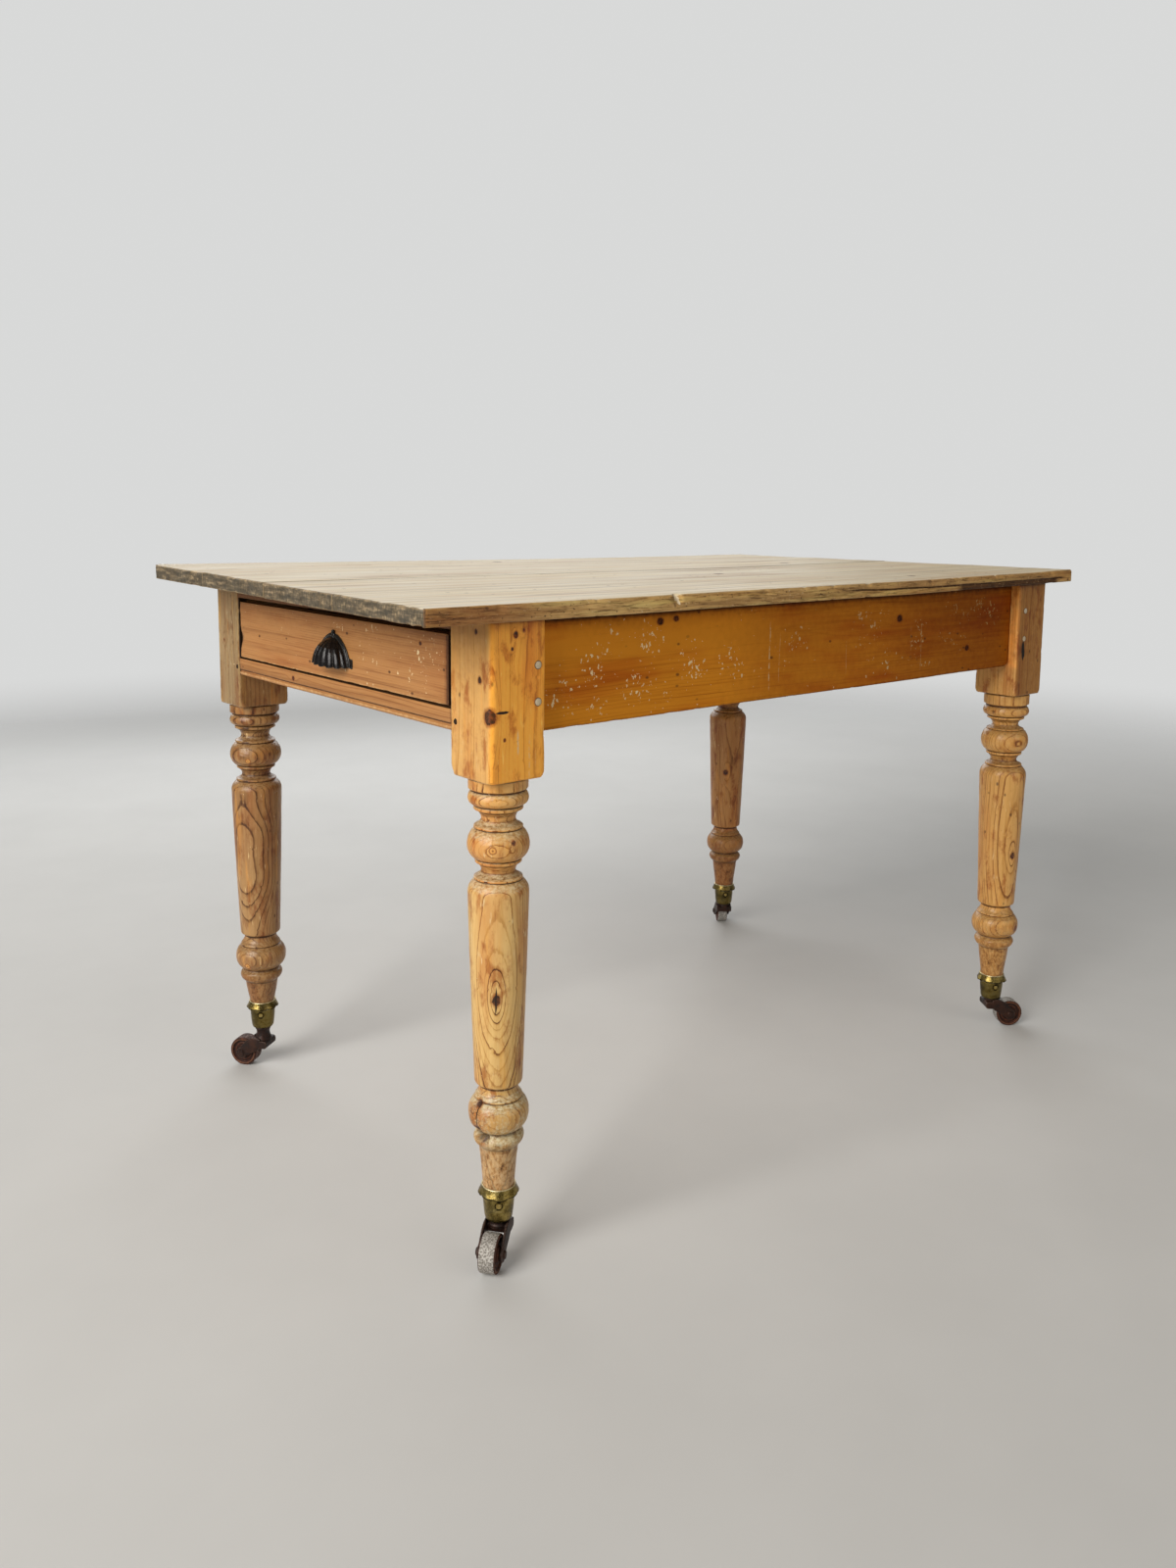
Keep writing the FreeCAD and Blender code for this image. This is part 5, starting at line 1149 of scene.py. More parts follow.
# darker in the chip, towards the top edge and on the end faces: dirt, and painted shade under the rail and in the gaps
# at the ends
at["dirt_and_shade"] = np.maximum(chip * face, np.exp(-(0.7205 - z) / 0.004) * 0.5)
at["dirt_and_shade"] = np.maximum(at["dirt_and_shade"], np.where(np.abs(y) > 0.2668, 0.6, 0.0) * (1 - face))
# faces behind the front arris near black, and a dark spot in the gap by the chipped end: painted shadow in the gaps
# round the drawer
back_of_arris = smooth((x - XF - 0.0008) / 0.0012)
at["gap"] = np.maximum(np.where(np.abs(y) > 0.2672, 0.9, 0.0), np.where((z > 0.7184) | (z < 0.6410), 0.9, 0.0)) * back_of_arris * np.exp(-np.maximum(x - XF - 0.003, 0) / 0.004)
at["gap"] = np.maximum(at["gap"], 0.85 * np.exp(-((y - 0.2622) / 0.0034) ** 2 - ((z - 0.669) / 0.0052) ** 2))
# darker along the top: painted shade under the rail; a darker strip at the near end
at["shade"] = np.maximum(0.6 * np.exp(-(0.7190 - z) / 0.010), 0.95 * np.exp(-((y + 0.268) / 0.0052) ** 2))
at["dirt_and_shade"] = np.maximum(at["dirt_and_shade"], 0.8 * np.exp(-((y + 0.268) / 0.0045) ** 2) * face)
M["front"] = pine("drawer_pine_front", seed=83, pith=(-0.60, 0.560), ring=0.0024, knots=[(XF, -0.212, 0.704, 0.0022, "X")],
                  flecks=0.50, fleck_spots=[(XF, -0.10, 0.69, 0.06, 0.72), (XF, -0.2, 0.675, 0.07, 0.70), (XF, -0.24, 0.70, 0.05, 0.78), (XF, -0.02, 0.705, 0.03, 0.70)],
                  **dict(DRW, contrast=0.40, fibre=0.85, wander=0.004))
front = make("drawer_front_worn", P, F, M["front"], "drawer", ["drawer_front"], at)
cuts = []
for sy in (-1, 1):
    for zz in (0.658, 0.681, 0.704):
        cuts.append(([(-0.4975, zz - 0.00743), (-0.4975, zz + 0.00743), (-0.512, zz + 0.0095), (-0.512, zz - 0.0095)], sy * 0.2556, sy * 0.2720))
for prisms in (cuts, [([(-0.505, 0.647), (-0.4970, 0.647), (-0.4970, 0.655), (-0.505, 0.655)], -0.2616, 0.2616)]):
    tool = prism_cutter(prisms)
    mod = front.modifiers.new("cut", "BOOLEAN")
    mod.operation, mod.solver, mod.object = "DIFFERENCE", "EXACT", tool
    baked(front)
    bpy.data.objects.remove(tool)
front.data.polygons.foreach_set("use_smooth", np.ones(len(front.data.polygons), bool))
front.data.set_sharp_from_angle(angle=math.radians(50))
front.data.materials.clear()
front.data.materials.append(M["front"])


# ---------------------------------------------------------------- pegs and nail heads in the legs
def domed(r, depth, proud, n=28, seed=0, wob=0.04):
    prof = [(0.0001 * 2, proud), (r * 0.45, proud * 0.96), (r * 0.75, proud * 0.78), (r * 0.92, proud * 0.42), (r, 0.0), (r, -depth * 0.5), (r, -depth)]

    def w(R, Z, T):
        nn = fbm(np.stack([np.cos(T).ravel() * 1.3, np.sin(T).ravel() * 1.3, 0 * T.ravel() + seed], 1), 2, seed).reshape(T.shape)
        return R * (1 + wob * nn), Z + (R > r * 0.3) * (Z > -1e-6) * proud * 0.25 * nn

    return lathe(prof, n, w)


def aim(V, at, d):
    """Turns +Z to the direction d and moves to at."""
    rot = Vector((0, 0, 1)).rotation_difference(Vector(d)).to_matrix()
    return np.asarray(V) @ np.array(rot).T + np.array(at)


parts, dirt_and_shade = [], []
for sy in (-1, 1):
    for q, (px, pz) in enumerate(((-0.457, 0.689), (-0.457, 0.649), (0.508, 0.701), (0.508, 0.657))):
        V, Fs = domed(0.0048, 0.012, 0.0010, seed=q + 5 * (sy > 0) + 1)
        parts.append((aim(V, (px, sy * 0.3470, pz), (0, sy, 0)), Fs))
for sy in (-1, 1):
    for q, pz in enumerate((0.694, 0.654)):
        V, Fs = domed(0.0048, 0.012, 0.0010, seed=20 + q + 3 * (sy > 0))
        parts.append((aim(V, (0.566, sy * 0.287, pz), (1, 0, 0)), Fs))
ringd = np.tile(np.repeat([0.0, 0.05, 0.25, 0.9, 1, 1, 1], 28), len(parts))
V, F = joined(parts)
M["peg"] = pine("peg_end_grain", along="Y", seed=91, ring=0.0018, pith=(-0.459, 0.68), pale=(212, 196, 166), mid=(186, 168, 136), late=(144, 120, 90),
                deep=(76, 56, 36), contrast=0.5, fibre=0.3, tone=0.5, stains=0.2, grime_and_shade=0.95, wear_and_highlight=0.0, grey=0.6, rough=(0.45, 0.6), dots=0.5)
make("tenon_pegs_worn", V, F, M["peg"], "table", ["tenon_pegs"], {"dirt_and_shade": ringd, "edge": 0 * ringd})
parts = []
for q, py in enumerate((-0.282, 0.282)):
    V, Fs = domed(0.0034, 0.003, 0.0006, seed=40 + q, wob=0.08)
    parts.append((aim(V, (XF, py, 0.625), (-1, 0, 0)), Fs))
V, F = joined(parts)
make("rail_nails_heads", V, F, M["iron"], "table", ["rail_nails"])


# ---------------------------------------------------------------- cast and forged pieces
def curvature(me, k=1.0):
    """Adds edge (proud) and dirt_and_shade (hollow) attributes from the mesh's own curvature."""
    n = len(me.vertices)
    co = np.zeros(n * 3)
    me.vertices.foreach_get("co", co)
    co = co.reshape(-1, 3)
    no = np.zeros(n * 3)
    me.vertices.foreach_get("normal", no)
    no = no.reshape(-1, 3)
    e = np.zeros(len(me.edges) * 2, np.int64)
    me.edges.foreach_get("vertices", e)
    e = e.reshape(-1, 2)
    cnt = np.bincount(e.ravel(), minlength=n).astype(float)
    cnt[cnt == 0] = 1

    def avg(q):
        out = np.zeros_like(q)
        for c_ in range(q.shape[1]):
            out[:, c_] = (np.bincount(e[:, 0], q[e[:, 1], c_], n) + np.bincount(e[:, 1], q[e[:, 0], c_], n)) / cnt
        return out

    ln = np.linalg.norm(co[e[:, 0]] - co[e[:, 1]], axis=1).mean()
    cv = -np.einsum("ij,ij->i", avg(co) - co, no) / ln
    cv = cv[:, None]
    for _ in range(2):
        cv = 0.5 * cv + 0.5 * avg(cv)
    cv = cv[:, 0] * k
    for key, val in (("edge", np.clip(cv * 9, 0, 1)), ("dirt_and_shade", np.clip(-cv * 9, 0, 1))):
        a = me.attributes.get(key) or me.attributes.new(key, "FLOAT", "POINT")
        a.data.foreach_set("value", val.astype(np.float32))


def cast(ob, voxel, relax=2, lump=0.0, scale=200.0, seed=0):
    """Fuses overlapping closed shells into one skin, softens it and roughens it like a casting."""
    m = ob.modifiers.new("fuse", "REMESH")
    m.mode, m.voxel_size, m.use_smooth_shade = "VOXEL", voxel, True
    if relax:
        s = ob.modifiers.new("soft", "SMOOTH")
        s.factor, s.iterations = 0.5, relax
    baked(ob)
    me = ob.data
    n = len(me.vertices)
    co = np.zeros(n * 3)
    me.vertices.foreach_get("co", co)
    co = co.reshape(-1, 3)
    if lump:
        no = np.zeros(n * 3)
        me.vertices.foreach_get("normal", no)
        co = co + no.reshape(-1, 3) * (lump * fbm(co * scale, 3, seed))[:, None]
        me.vertices.foreach_set("co", co.ravel())
        me.update()
    me.polygons.foreach_set("use_smooth", np.ones(len(me.polygons), bool))
    curvature(me)
    return ob


def tube(path, r, n=10, flat=1.0, normal=(1, 0, 0)):
    """Closed tube along a polyline lying near a plane; flat squashes it along the plane's normal."""
    path = np.asarray(path, float)
    nrm = np.array(normal, float)
    T = np.gradient(path, axis=0)
    T /= np.linalg.norm(T, axis=1)[:, None]
    B = np.cross(T, nrm)
    B /= np.linalg.norm(B, axis=1)[:, None]
    a = np.linspace(0, 2 * math.pi, n, endpoint=False)
    rr = np.broadcast_to(np.asarray(r, float), len(path))
    V = path[:, None] + rr[:, None, None] * (np.cos(a)[None, :, None] * B[:, None] + flat * np.sin(a)[None, :, None] * nrm)
    m = len(path)
    i = np.arange(m - 1)[:, None] * n
    j = np.arange(n)[None]
    F = np.stack([i + j, i + (j + 1) % n, i + n + (j + 1) % n, i + n + j], -1).reshape(-1, 4)
    return V.reshape(-1, 3), [F, [list(range(n))[::-1]], [list(range((m - 1) * n, m * n))]]


def ball(centre, r, n=24, m=14):
    prof = [(max(1e-5, r * math.sin(a)), r * math.cos(a)) for a in np.linspace(0.02, math.pi - 0.02, m)]
    V, F = lathe(prof, n)
    return V + np.array(centre), F


# shell cup pull: o = out from the drawer, y across, z up, in mm
PH = 32.6
HW = ([0, 0.06, 0.14, 0.28, 0.45, 0.62, 0.79, 0.90, 0.96, 1.0], [36.4, 35.9, 35.2, 33.4, 30.4, 26.0, 19.4, 13.2, 8.6, 4.6])
HP = ([0, 0.10, 0.28, 0.50, 0.65, 0.79, 0.90, 0.96, 1.0], [22.8, 22.6, 22.0, 20.4, 18.2, 14.2, 9.0, 5.6, 3.2])
na, nh = 181, 46
al = np.radians(np.linspace(-90, 90, na))[None]
hh = np.linspace(0, 1, nh)[:, None]
lobe = np.abs(np.sin((al + math.pi / 2) * 8.0)) ** 0.62
fade = smooth((0.985 - hh) / 0.25)
amp = (2.0 * (1 - hh) + 0.7) * fade
Wd = np.interp(hh, *HW)
Pr = np.interp(hh, *HP)
y1 = Wd * np.sin(al) + amp * lobe * np.sin(al) - 0.8 * fade * np.sin(al)
o1 = (Pr + amp * lobe - 0.8 * fade) * np.cos(al)
z1 = PH * hh - 2.4 * lobe * (1 - hh) ** 6 * np.cos(al) ** 0.5 + 0 * al
y2 = (Wd - 2.6) * np.sin(al) + 0.7 * amp * (lobe - 0.6) * np.sin(al)
o2 = np.maximum(Pr - 2.6 + 0.7 * amp * (lobe - 0.6), 0.4) * np.cos(al)
z2 = (PH - 3.0) * hh - 2.4 * lobe * (1 - hh) ** 6 * np.cos(al) ** 0.5 + 0 * al
A = np.stack([o1, y1, z1], -1).reshape(-1, 3)
B = np.stack([o2, y2, z2], -1).reshape(-1, 3)
V = np.concatenate([A, B])
nB = na * nh
i = np.arange(nh - 1)[:, None] * na
j = np.arange(na - 1)[None]
quad = np.stack([i + j, i + j + 1, i + na + j + 1, i + na + j], -1).reshape(-1, 4)
jj = np.arange(na - 1)
ii = np.arange(nh - 1) * na
lip = np.stack([jj, nB + jj, nB + jj + 1, jj + 1], -1)
s0 = np.stack([ii, ii + na, nB + ii + na, nB + ii], -1)
s1 = np.stack([ii + na - 1, nB + ii + na - 1, nB + ii + 2 * na - 1, ii + 2 * na - 1], -1)
tp = (nh - 1) * na
shell = (V, [quad, quad[:, ::-1] + nB, lip, s0, s1,
             [list(range(tp, tp + na))], [list(range(nB + tp + na - 1, nB + tp - 1, -1))], [[tp, nB + tp, nB + tp + na - 1, tp + na - 1]]])
parts = [shell]
hs = np.linspace(0.02, 1.0, 40)
for off, r, hgt in ((2.2, 1.25, 2.2), (5.2, 1.35, 1.2)):
    side_ = np.stack([0 * hs + hgt, np.interp(hs, *HW) + off * (1 - 0.30 * hs), PH * hs + off * 0.55 * hs ** 2], 1)
    arch = np.array([[hgt, 0.5 * np.interp(1.0, *HW), PH + off * 0.60 + 0.2], [hgt, 0.0, PH + off * 0.62 + 0.4]])
    right = np.concatenate([side_, arch])
    path = np.concatenate([right, (right * np.array([1, -1, 1]))[::-1][1:]])
    parts.append(tube(path, r, 12, 0.85, (1, 0, 0)))
outl = np.stack([np.interp(hs, *HW) + 6.0 * (1 - 0.30 * hs), PH * hs + 3.2 * hs ** 2], 1)
outl = np.concatenate([outl, (outl * np.array([-1, 1]))[::-1]])
m = len(outl)
Vp = np.concatenate([np.column_stack([np.full(m, -0.02), outl]), np.column_stack([np.full(m, 1.3), outl])])
q = np.arange(m)
inner = np.stack([np.interp(hs, *HW) - 1.6, PH * hs - 1.0], 1)
inner = np.concatenate([inner, (inner * np.array([-1, 1]))[::-1]])
Vi = np.concatenate([np.column_stack([np.full(m, -0.02), inner]), np.column_stack([np.full(m, 1.3), inner])])
Vp = np.concatenate([Vp, Vi])
q1 = q[:-1]
plate = (Vp, [np.stack([q1, q1 + 1, m + q1 + 1, m + q1], -1), np.stack([2 * m + q1, 3 * m + q1, 3 * m + q1 + 1, 2 * m + q1 + 1], -1),
              np.stack([m + q1, m + q1 + 1, 3 * m + q1 + 1, 3 * m + q1], -1), np.stack([q1, 2 * m + q1, 2 * m + q1 + 1, q1 + 1], -1),
              [[0, m, 3 * m, 2 * m]], [[m - 1, 3 * m - 1, 4 * m - 1, 2 * m - 1]]])
parts.append(plate)
for sg in (-1, 1):
    prof = [(0.01, 1.5), (5.2, 1.5), (5.9, 1.2), (6.2, 0.6), (6.2, -0.02), (0.01, -0.02)]
    Vl, Fl = lathe(prof, 40)
    # squared-off ears
    ra_ = np.maximum(np.hypot(Vl[:, 0], Vl[:, 1]), 1e-6)
    sq_ = 1.0 / ((np.abs(Vl[:, 0]) / ra_) ** 6 + (np.abs(Vl[:, 1]) / ra_) ** 6) ** (1 / 6)
    Vl[:, :2] *= (0.86 * sq_)[:, None]
    Vl = np.stack([Vl[:, 2], Vl[:, 0] + sg * 41.4, Vl[:, 1] * 1.15 + 5.0], 1)
    parts.append((Vl, Fl))
parts.append(ball((2.4, 0, PH + 6.9), 2.5))
parts.append(ball((2.2, 0, PH + 5.2), 2.2))
parts.append(tube([(2.0, 0, PH - 1), (2.0, 0, PH + 2.4), (2.2, 0, PH + 5.6)], [3.6, 2.6, 1.9], 16, 0.7, (1, 0, 0)))
V, F = joined(parts)
ca_, sa_ = math.cos(math.radians(3.6)), math.sin(math.radians(3.6))
V = np.stack([V[:, 0], V[:, 1] * ca_ - (V[:, 2] - 16.0) * sa_, 16.0 + V[:, 1] * sa_ + (V[:, 2] - 16.0) * ca_], 1)
V = np.stack([XF - V[:, 0] * 0.001, -0.011 + V[:, 1] * 0.001, 0.6613 + V[:, 2] * 0.001], 1)
F = [[p[::-1] for p in f] if isinstance(f, list) else f[:, ::-1] for f in F]
pull = make("drawer_pull_shell", V, F, M["bronze"], "drawer", ["drawer_pull"])
cast(pull, 0.00042, 1, 0.00006, 500.0, 7)
pull.data.materials.clear()
pull.data.materials.append(M["bronze"])


# ---------------------------------------------------------------- castors
def wheel_material():
    g = Graph("worn_castor_wheel")
    n1 = g.noise(g.vmath("SCALE", g.coord, 210.0), 1.0, 4.0, 0.6)
    n2 = g.noise(g.vmath("SCALE", g.coord, 900.0), 1.0, 3.0, 0.6)
    c = g.ramp(g.add(g.mul(n1, 0.7), g.mul(n2, 0.3)), [(0.30, srgb(28, 14, 10)), (0.48, srgb(62, 30, 18)), (0.62, srgb(96, 48, 26)), (0.78, srgb(128, 72, 42))])
    dirt_and_shade, edge, tread = g.attr("dirt_and_shade"), g.attr("edge"), g.attr("tread")
    c = g.mix(g.mul(g.range(g.add(dirt_and_shade, g.mul(g.sub(n1, 0.5), 0.6)), 0.2, 0.9), 0.8), c, srgb(22, 12, 8))
    c = g.mix(g.mul(g.range(g.add(edge, g.mul(g.sub(n2, 0.5), 0.9)), 0.45, 0.95), 0.45), c, srgb(150, 108, 80))
    st = g.voronoi(g.vmath("SCALE", g.coord, 520.0), 1.0)
    tc = g.ramp(g.add(g.mul(st, 0.75), g.mul(n2, 0.45)), [(0.22, srgb(66, 58, 52)), (0.44, srgb(120, 114, 108)), (0.66, srgb(160, 155, 148)), (0.85, srgb(190, 186, 180))])
    c = g.mix(g.range(g.add(tread, g.mul(g.sub(n1, 0.5), 0.45)), 0.40, 0.62), c, tc)
    g.put(g.bsdf.inputs["Base Color"], c)
    g.bsdf.inputs["Metallic"].default_value = 0.25
    g.bsdf.inputs["Specular IOR Level"].default_value = 0.4
    g.put(g.bsdf.inputs["Roughness"], g.range(n2, 0.3, 0.7, 0.48, 0.74, "LINEAR"))
    h = g.add(n1, g.add(g.mul(n2, 0.7), g.mul(st, 0.5)))
    g.put(g.bsdf.inputs["Normal"], g.bump(h, 0.7, 0.0004))
    return g.mat


M["wheel"] = wheel_material()


def castor_place(V, key):
    lx, ly, lift, ang = LEGS[key]
    a = math.radians(ang)
    R = np.array([[math.cos(a), -math.sin(a), 0], [math.sin(a), math.cos(a), 0], [0, 0, 1]])
    return (np.asarray(V) @ R.T) * 0.001 + np.array([lx, ly, 0])


def cup_mesh(key, seed):
    lx, ly, lift, ang = LEGS[key]
    t = CUP_Z + lift
    b = 48.0 + lift
    outer = [(18.05, t + 0.2), (18.9, t + 0.4), (19.5, t), (19.7, t - 0.9), (19.9, t - 1.8), (20.4, t - 3.2), (21.1, t - 5.0), (22.0, t - 7.0), (22.8, t - 8.3),
             (23.1, t - 9.1), (22.9, t - 9.9), (22.2, t - 10.5), (20.6, t - 11.0), (19.0, t - 11.5), (18.3, t - 12.2), (18.2, t - 13.0)]
    outer += [(18.2 + (16.0 - 18.2) * i / 12 + 0.35 * math.sin(math.pi * i / 12), t - 13.0 + (b + 4.0 - t + 13.0) * i / 12) for i in range(1, 13)]
    outer += [(15.7, b + 2.6), (15.1, b + 1.5), (14.2, b + 0.6), (12.9, b + 0.05), (10.0, b), (7.0, b), (5.2, b)]
    inn = [(5.2, b + 3.0), (5.2, b + 5.9), (8.0, b + 6.0), (12.05, b + 6.1), (12.05, t - 24.0)] + [(12.05 + 6.0 * i / 6, t - 24.0 + 24.0 * i / 6) for i in range(1, 6)]
    prof = outer + inn

    def w(R, Z, T):
        k = np.exp(-((Z - (t - 8.6)) / 3.4) ** 2) * (R > 18.6)
        lob = np.abs(np.sin(T * 4.0 + 0.5)) ** 0.7
        nn = fbm(np.stack([np.cos(T).ravel() * 2.6, np.sin(T).ravel() * 2.6, Z.ravel() * 0.12], 1), 3, seed).reshape(T.shape)
        n2 = fbm(np.stack([np.cos(T).ravel() * 9, np.sin(T).ravel() * 9, Z.ravel() * 0.5], 1), 2, seed + 5).reshape(T.shape)
        out = R > 14.0
        R2 = R + k * (1.1 * (lob - 0.62) + 0.7 * nn + 0.25 * n2) + out * (0.14 * nn + 0.07 * n2) * (Z < t - 0.5)
        Z2 = Z - k * (1.5 * (lob - 0.5) + 0.9 * nn + 0.3 * n2)
        return R2, Z2

    V, F = ring_lathe(prof[::-1], 112, w)
    V = V * 0.001 + np.array([lx, ly, 0])
    return V, F


def wheel_mesh(key, seed):
    prof = [(4.06, -10.8), (6.2, -10.8), (8.2, -10.7), (8.8, -10.2), (9.1, -9.0), (9.6, -7.7), (10.4, -7.4), (11.6, -7.5), (12.4, -8.0), (13.0, -8.2), (13.6, -7.9),
            (14.4, -7.4), (16.2, -7.4), (16.8, -7.9), (17.2, -9.0), (17.8, -9.65), (18.8, -9.75), (20.0, -9.75), (20.8, -9.6), (21.4, -9.1), (21.7, -8.4),
            (21.85, -7.2), (21.92, -5.0), (21.97, -2.5), (22.0, 0.0)]
    prof = prof + [(r, -z) for r, z in prof[::-1][1:]]
    prof = np.array(dense(prof, 1.6))

    def w(R, Z, T):
        nn = fbm(np.stack([np.cos(T).ravel() * 3, np.sin(T).ravel() * 3, Z.ravel() * 0.2], 1), 3, seed).reshape(T.shape)
        n2 = fbm(np.stack([np.cos(T).ravel() * 14, np.sin(T).ravel() * 14, Z.ravel() * 0.7], 1), 2, seed + 3).reshape(T.shape)
        rim = smooth((R - 17.0) / 3.0)
        face = smooth((R - 6.0) / 3.0)
        return R - rim * (0.22 + 0.18 * nn + 0.10 * n2), Z + face * 0.10 * n2 * np.sign(Z)

    V, F = ring_lathe(prof, 120, w)
    rad = np.hypot(V[:, 0], V[:, 1])
    ax = V[:, 2]
    tread = smooth((rad - 20.9) / 0.5) * smooth((9.3 - np.abs(ax)) / 0.7)
    groove = np.exp(-((rad - 15.2) / 1.2) ** 2) + np.exp(-((rad - 10.6) / 0.9) ** 2)
    edge = np.exp(-((rad - 18.6) / 1.0) ** 2) + np.exp(-((rad - 13.0) / 0.7) ** 2) * 0.7
    L = np.stack([V[:, 0] + 30.0, ax, V[:, 1] + 22.0], 1)
    F = [f[:, ::-1] for f in F]
    return castor_place(L, key), F, {"tread": np.clip(tread, 0, 1), "dirt_and_shade": np.clip(groove, 0, 1), "edge": np.clip(edge, 0, 1)}


def bar(path, half_w, half_t, n=16):
    """Closed bar along a path in the XZ plane; widths in plane and across it (Y), superelliptic section."""
    path = np.asarray(path, float)
    T = np.gradient(path, axis=0)
    T /= np.linalg.norm(T, axis=1)[:, None]
    N = np.stack([-T[:, 2], 0 * T[:, 0], T[:, 0]], 1)
    a = np.linspace(0, 2 * math.pi, n, endpoint=False)
    ca = np.sign(np.cos(a)) * np.abs(np.cos(a)) ** 0.55
    sa = np.sign(np.sin(a)) * np.abs(np.sin(a)) ** 0.55
    hw = np.broadcast_to(np.asarray(half_w, float), len(path))
    ht = np.broadcast_to(np.asarray(half_t, float), len(path))
    V = path[:, None] + hw[:, None, None] * ca[None, :, None] * N[:, None] + ht[:, None, None] * sa[None, :, None] * np.array([0, 1.0, 0])
    m = len(path)
    i = np.arange(m - 1)[:, None] * n
    j = np.arange(n)[None]
    F = np.stack([i + j, i + (j + 1) % n, i + n + (j + 1) % n, i + n + j], -1).reshape(-1, 4)
    return V.reshape(-1, 3), [F, [list(range(n))[::-1]], [list(range((m - 1) * n, m * n))]]


def horn_mesh(key):
    lift = LEGS[key][2]
    b = 48.0 + lift
    parts = []
    # crown over the wheel, bent down into two cheeks that taper to the axle eyes
    for sg in (-1, 1):
        w0 = sg * 13.2
        pts = [(-2.0, 40.2), (4.0, 39.4), (10.0, 37.0), (16.0, 33.2), (22.0, 28.6), (27.0, 24.6), (30.0, 22.0)]
        pts = np.array(pts)
        tt = np.linspace(0, 1, 30)
        px = np.interp(tt, np.linspace(0, 1, len(pts)), pts[:, 0])
        pz = np.interp(tt, np.linspace(0, 1, len(pts)), pts[:, 1])
        path = np.stack([px, np.full(30, w0), pz], 1)
        hw = np.interp(tt, [0, 0.25, 0.5, 0.75, 1.0], [6.8, 10.4, 10.6, 9.0, 7.4])
        parts.append(bar(path, hw, np.full(30, 1.9)))
        eye, Fe = lathe([(0.5, 2.0), (7.8, 2.0), (8.4, 1.5), (8.4, -1.5), (7.8, -2.0), (0.5, -2.0)], 40)
        eye = np.stack([eye[:, 0] + 30.0, -eye[:, 2] + w0, eye[:, 1] + 22.0], 1)
        parts.append((eye, Fe))
    # crown block
    yy = np.linspace(-14.9, 14.9, 25)
    path = np.stack([0 * yy, yy, 0 * yy], 1)
    a = np.linspace(0, 2 * math.pi, 28, endpoint=False)
    ca = np.sign(np.cos(a)) * np.abs(np.cos(a)) ** 0.5
    sa = np.sign(np.sin(a)) * np.abs(np.sin(a)) ** 0.5
    hump = np.cos(yy / 15.0 * 1.2) * 0.8
    V = np.stack([(-1.8 + 10.6 * ca)[None] * np.ones((25, 1)), yy[:, None] * np.ones(28), (38.2 + np.where(sa > 0, 5.6, 6.0) * sa)[None] + hump[:, None] * (sa > 0)[None]], -1)
    i = np.arange(24)[:, None] * 28
    j = np.arange(28)[None]
    F = np.stack([i + j, i + 28 + j, i + 28 + (j + 1) % 28, i + (j + 1) % 28], -1).reshape(-1, 4)
    parts.append((V.reshape(-1, 3), [F, [list(range(28))], [list(range(24 * 28, 25 * 28))[::-1]]]))
    # collar under the cup
    if lift:
        prof = [(0.5, b - 0.3), (11.4, b - 0.3), (11.8, b - 1.0), (11.6, b - 3.0), (10.4, b - 4.6), (9.8, b - 7.0), (9.6, b - 10.0), (10.4, b - 14.0), (12.0, b - 18.0),
                (12.6, 42.0), (12.6, 40.0), (0.5, 40.0)]
    else:
        prof = [(0.5, b - 0.3), (11.2, b - 0.3), (11.6, b - 0.9), (11.0, b - 2.0), (11.4, 44.2), (12.4, 42.8), (12.6, 40.0), (0.5, 40.0)]
    parts.append(lathe(prof, 48))
    V, F = joined(parts)
    return castor_place(V, key), F


for q, key in enumerate(LEGS):
    V, F = cup_mesh(key, 500 + q * 7)
    cup = make("castor_cup_%s_brass" % key, V, F, M["brass"], "table", ["castor_cup_" + key])
    curvature(cup.data, 1.1)
    co = np.zeros(len(cup.data.vertices) * 3)
    cup.data.vertices.foreach_get("co", co)
    co = co.reshape(-1, 3)
    dz = CUP_Z + LEGS[key][2] - co[:, 2] * 1000
    turn_ = np.arctan2(co[:, 1] - LEGS[key][1], co[:, 0] - LEGS[key][0])
    from_screw = np.min([np.hypot(17.8 * np.angle(np.exp(1j * (turn_ - math.radians(s0)))), co[:, 2] * 1000 - 71.0 - LEGS[key][2]) for s0 in (-125.0, 55.0)], 0)
    # a bright line along the rim and a fainter one along the petal edge: painted highlight; dark under the petals and
    # over the bodies of the cups other than the near one: painted shade; dark round the screw heads: dirt
    for name_, extra_ in (("edge", np.maximum(np.exp(-((dz - 0.0) / 1.0) ** 2), 0.38 * np.exp(-((dz - 8.8) / 1.4) ** 2))), ("dirt_and_shade", np.maximum(np.exp(-((dz - 12.0) / 1.0) ** 2), np.maximum(np.exp(-((from_screw - 4.3) / 1.0) ** 2) * (from_screw < 7), (0.0 if key == "drawer_right" else 0.50) * smooth((dz - 12.0) / 2.0))))):
        att = cup.data.attributes[name_]
        val = np.zeros(len(dz), np.float32)
        att.data.foreach_get("value", val)
        att.data.foreach_set("value", np.maximum(val, extra_).astype(np.float32))
    V, F = horn_mesh(key)
    horn = make("castor_horn_%s_cast" % key, V, F, M["rust"], "castor_" + key, ["castor_horn_" + key])
    cast(horn, 0.00052, 3, 0.00016, 260.0, 600 + q)
    horn.data.materials.clear()
    horn.data.materials.append(M["rust"])
    V, F, at = wheel_mesh(key, 700 + q * 9)
    at["tread"] = at["tread"] * {"drawer_left": 0.42}.get(key, 1.0)
    make("castor_wheel_%s_worn" % key, V, F, M["wheel"], "wheel_" + key, ["castor_wheel_" + key], at)

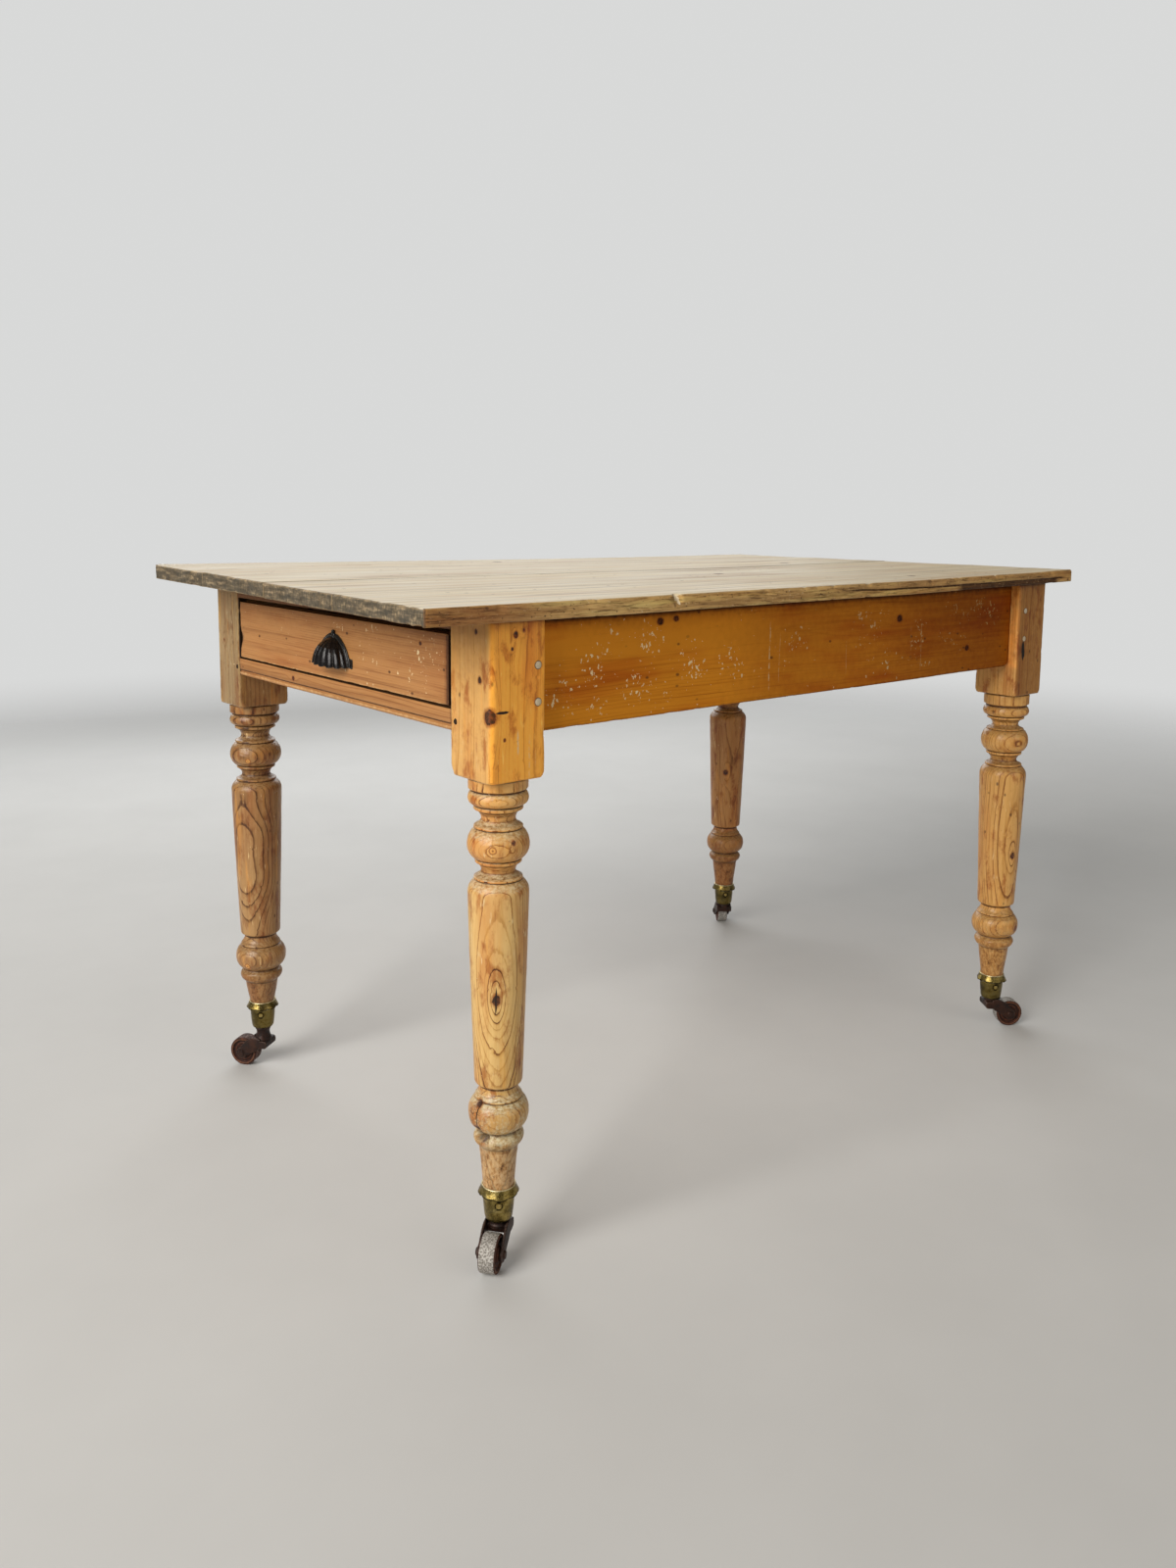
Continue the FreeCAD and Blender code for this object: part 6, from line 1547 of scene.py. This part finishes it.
# ---------------------------------------------------------------- carried-over pieces
M["raw_x"] = pine("raw_pine_along", along="X", seed=131, pith=(0.02, 0.60), ring=0.0036, contrast=0.6, fibre=0.5, **RAW)
M["raw_y"] = pine("raw_pine_across", along="Y", seed=137, pith=(-0.30, 0.60), ring=0.0038, contrast=0.6, fibre=0.5, **RAW)
# the upper rail's pine made darker than the other drawer pine: painted shade in the gap above the drawer
M["rail_upper"] = pine("upper_rail_pine_in_painted_shade", seed=139, pith=(-0.56, 0.70), ring=0.0036, **dict(DRW, pale=(120, 80, 46), mid=(100, 64, 36), late=(76, 46, 24), deep=(50, 30, 16)))
CARRIED = {
    "drawer_rail_upper": "rail_upper", "drawer_back": "raw_y", "drawer_bottom_front": "raw_y", "drawer_bottom_rear": "raw_y",
    "drawer_stops": "raw_x", "glue_blocks": "raw_x",
    "runner_nails": "iron", "drawer_bottom_nails": "iron", "top_screws": "iron", "pull_screws": "iron", "castor_cup_screws": "brass_screw",
}
for s_ in ("right", "left"):
    for n_ in ("drawer_runner_", "drawer_guide_", "drawer_kicker_", "drawer_side_"):
        CARRIED[n_ + s_] = "raw_x"
for key in LEGS:
    CARRIED["castor_pin_" + key] = "rust"
    CARRIED["castor_axle_" + key] = "rust"
for n_, m_ in CARRIED.items():
    me = NODES[n_].data
    me.materials.clear()
    me.materials.append(M[m_])
    me.polygons.foreach_set("material_index", np.zeros(len(me.polygons), np.int32))

# ---------------------------------------------------------------- stage: pale floor, soft light
BACK = (0.69, 0.695, 0.69)
me = bpy.data.meshes.new("floor")
me.from_pydata([(-9, -9, 0), (9, -9, 0), (9, 9, 0), (-9, 9, 0)], [], [(0, 1, 2, 3)])
floor = bpy.data.objects.new("floor", me)
scene.collection.objects.link(floor)
g = Graph("pale_floor")
n1 = g.noise(g.vmath("SCALE", g.coord, 2.2), 1.0, 4.0, 0.6)
g.put(g.bsdf.inputs["Base Color"], g.ramp(n1, [(0.3, (0.60, 0.60, 0.592)), (0.7, (0.64, 0.64, 0.632))]))
g.bsdf.inputs["Roughness"].default_value = 0.75
g.bsdf.inputs["Specular IOR Level"].default_value = 0.25
rad = g.vmath("LENGTH", g.coord)
clear = g.t.nodes.new("ShaderNodeBsdfTransparent")
mixs = g.t.nodes.new("ShaderNodeMixShader")
g.put(mixs.inputs[0], g.range(rad, 1.6, 5.0))
g.t.links.new(g.bsdf.outputs[0], mixs.inputs[1])
g.t.links.new(clear.outputs[0], mixs.inputs[2])
g.t.links.new(mixs.outputs[0], g.out.inputs["Surface"])
me.materials.append(g.mat)

world = bpy.data.worlds.new("studio")
scene.world = world
world.use_nodes = True
wt = world.node_tree
wt.nodes.clear()
wo = wt.nodes.new("ShaderNodeOutputWorld")
b1 = wt.nodes.new("ShaderNodeBackground")
b2 = wt.nodes.new("ShaderNodeBackground")
lp = wt.nodes.new("ShaderNodeLightPath")
mx = wt.nodes.new("ShaderNodeMixShader")
b1.inputs[0].default_value = (1.0, 0.95, 0.87, 1)
b1.inputs[1].default_value = 0.16
b2.inputs[0].default_value = (*BACK, 1)
b2.inputs[1].default_value = 1.0
wt.links.new(lp.outputs["Is Camera Ray"], mx.inputs[0])
wt.links.new(b1.outputs[0], mx.inputs[1])
wt.links.new(b2.outputs[0], mx.inputs[2])
wt.links.new(mx.outputs[0], wo.inputs[0])


def area(name, at, to, size, power, colour):
    ld = bpy.data.lights.new(name, "AREA")
    ld.shape = "RECTANGLE"
    ld.size, ld.size_y = size
    ld.energy = power
    ld.color = colour
    ob = bpy.data.objects.new(name, ld)
    scene.collection.objects.link(ob)
    ob.location = at
    ob.rotation_euler = (Vector(to) - Vector(at)).to_track_quat("-Z", "Y").to_euler()
    return ob


area("key", (-5.3, -0.90, 3.1), (0, -0.1, 0.5), (3.4, 3.4), 345, (1.0, 0.97, 0.92))
area("fill", (0.6, -3.4, 1.7), (0, 0, 0.5), (2.4, 2.0), 19, (1.0, 0.95, 0.86))
area("back", (1.0, 2.6, 1.7), (0, 0, 0.7), (4.0, 1.8), 60, (0.97, 0.99, 1.0))

scene.view_settings.view_transform = "Standard"
scene.view_settings.look = "None"

# ---------------------------------------------------------------- camera at the photographed view
yaw, pitch, roll = 0.698387, 0.130549, 0.009518
fwd = Vector((math.sin(yaw) * math.cos(pitch), math.cos(yaw) * math.cos(pitch), -math.sin(pitch)))
right = Vector((math.cos(yaw), -math.sin(yaw), 0))
up = right.cross(fwd)
r2 = math.cos(roll) * right + math.sin(roll) * up
u2 = -math.sin(roll) * right + math.cos(roll) * up
cd = bpy.data.cameras.new("camera")
cam = bpy.data.objects.new("camera", cd)
scene.collection.objects.link(cam)
mat = Matrix((r2, u2, -fwd)).transposed().to_4x4()
mat.translation = Vector((-1.24165, -1.37365, 0.85807))
cam.matrix_world = mat
cd.sensor_fit = "AUTO"
cd.sensor_width = 36.0
cd.lens = 27.907
cd.shift_x = -0.00344
cd.shift_y = -0.0753
cd.clip_start, cd.clip_end = 0.02, 60
scene.camera = cam
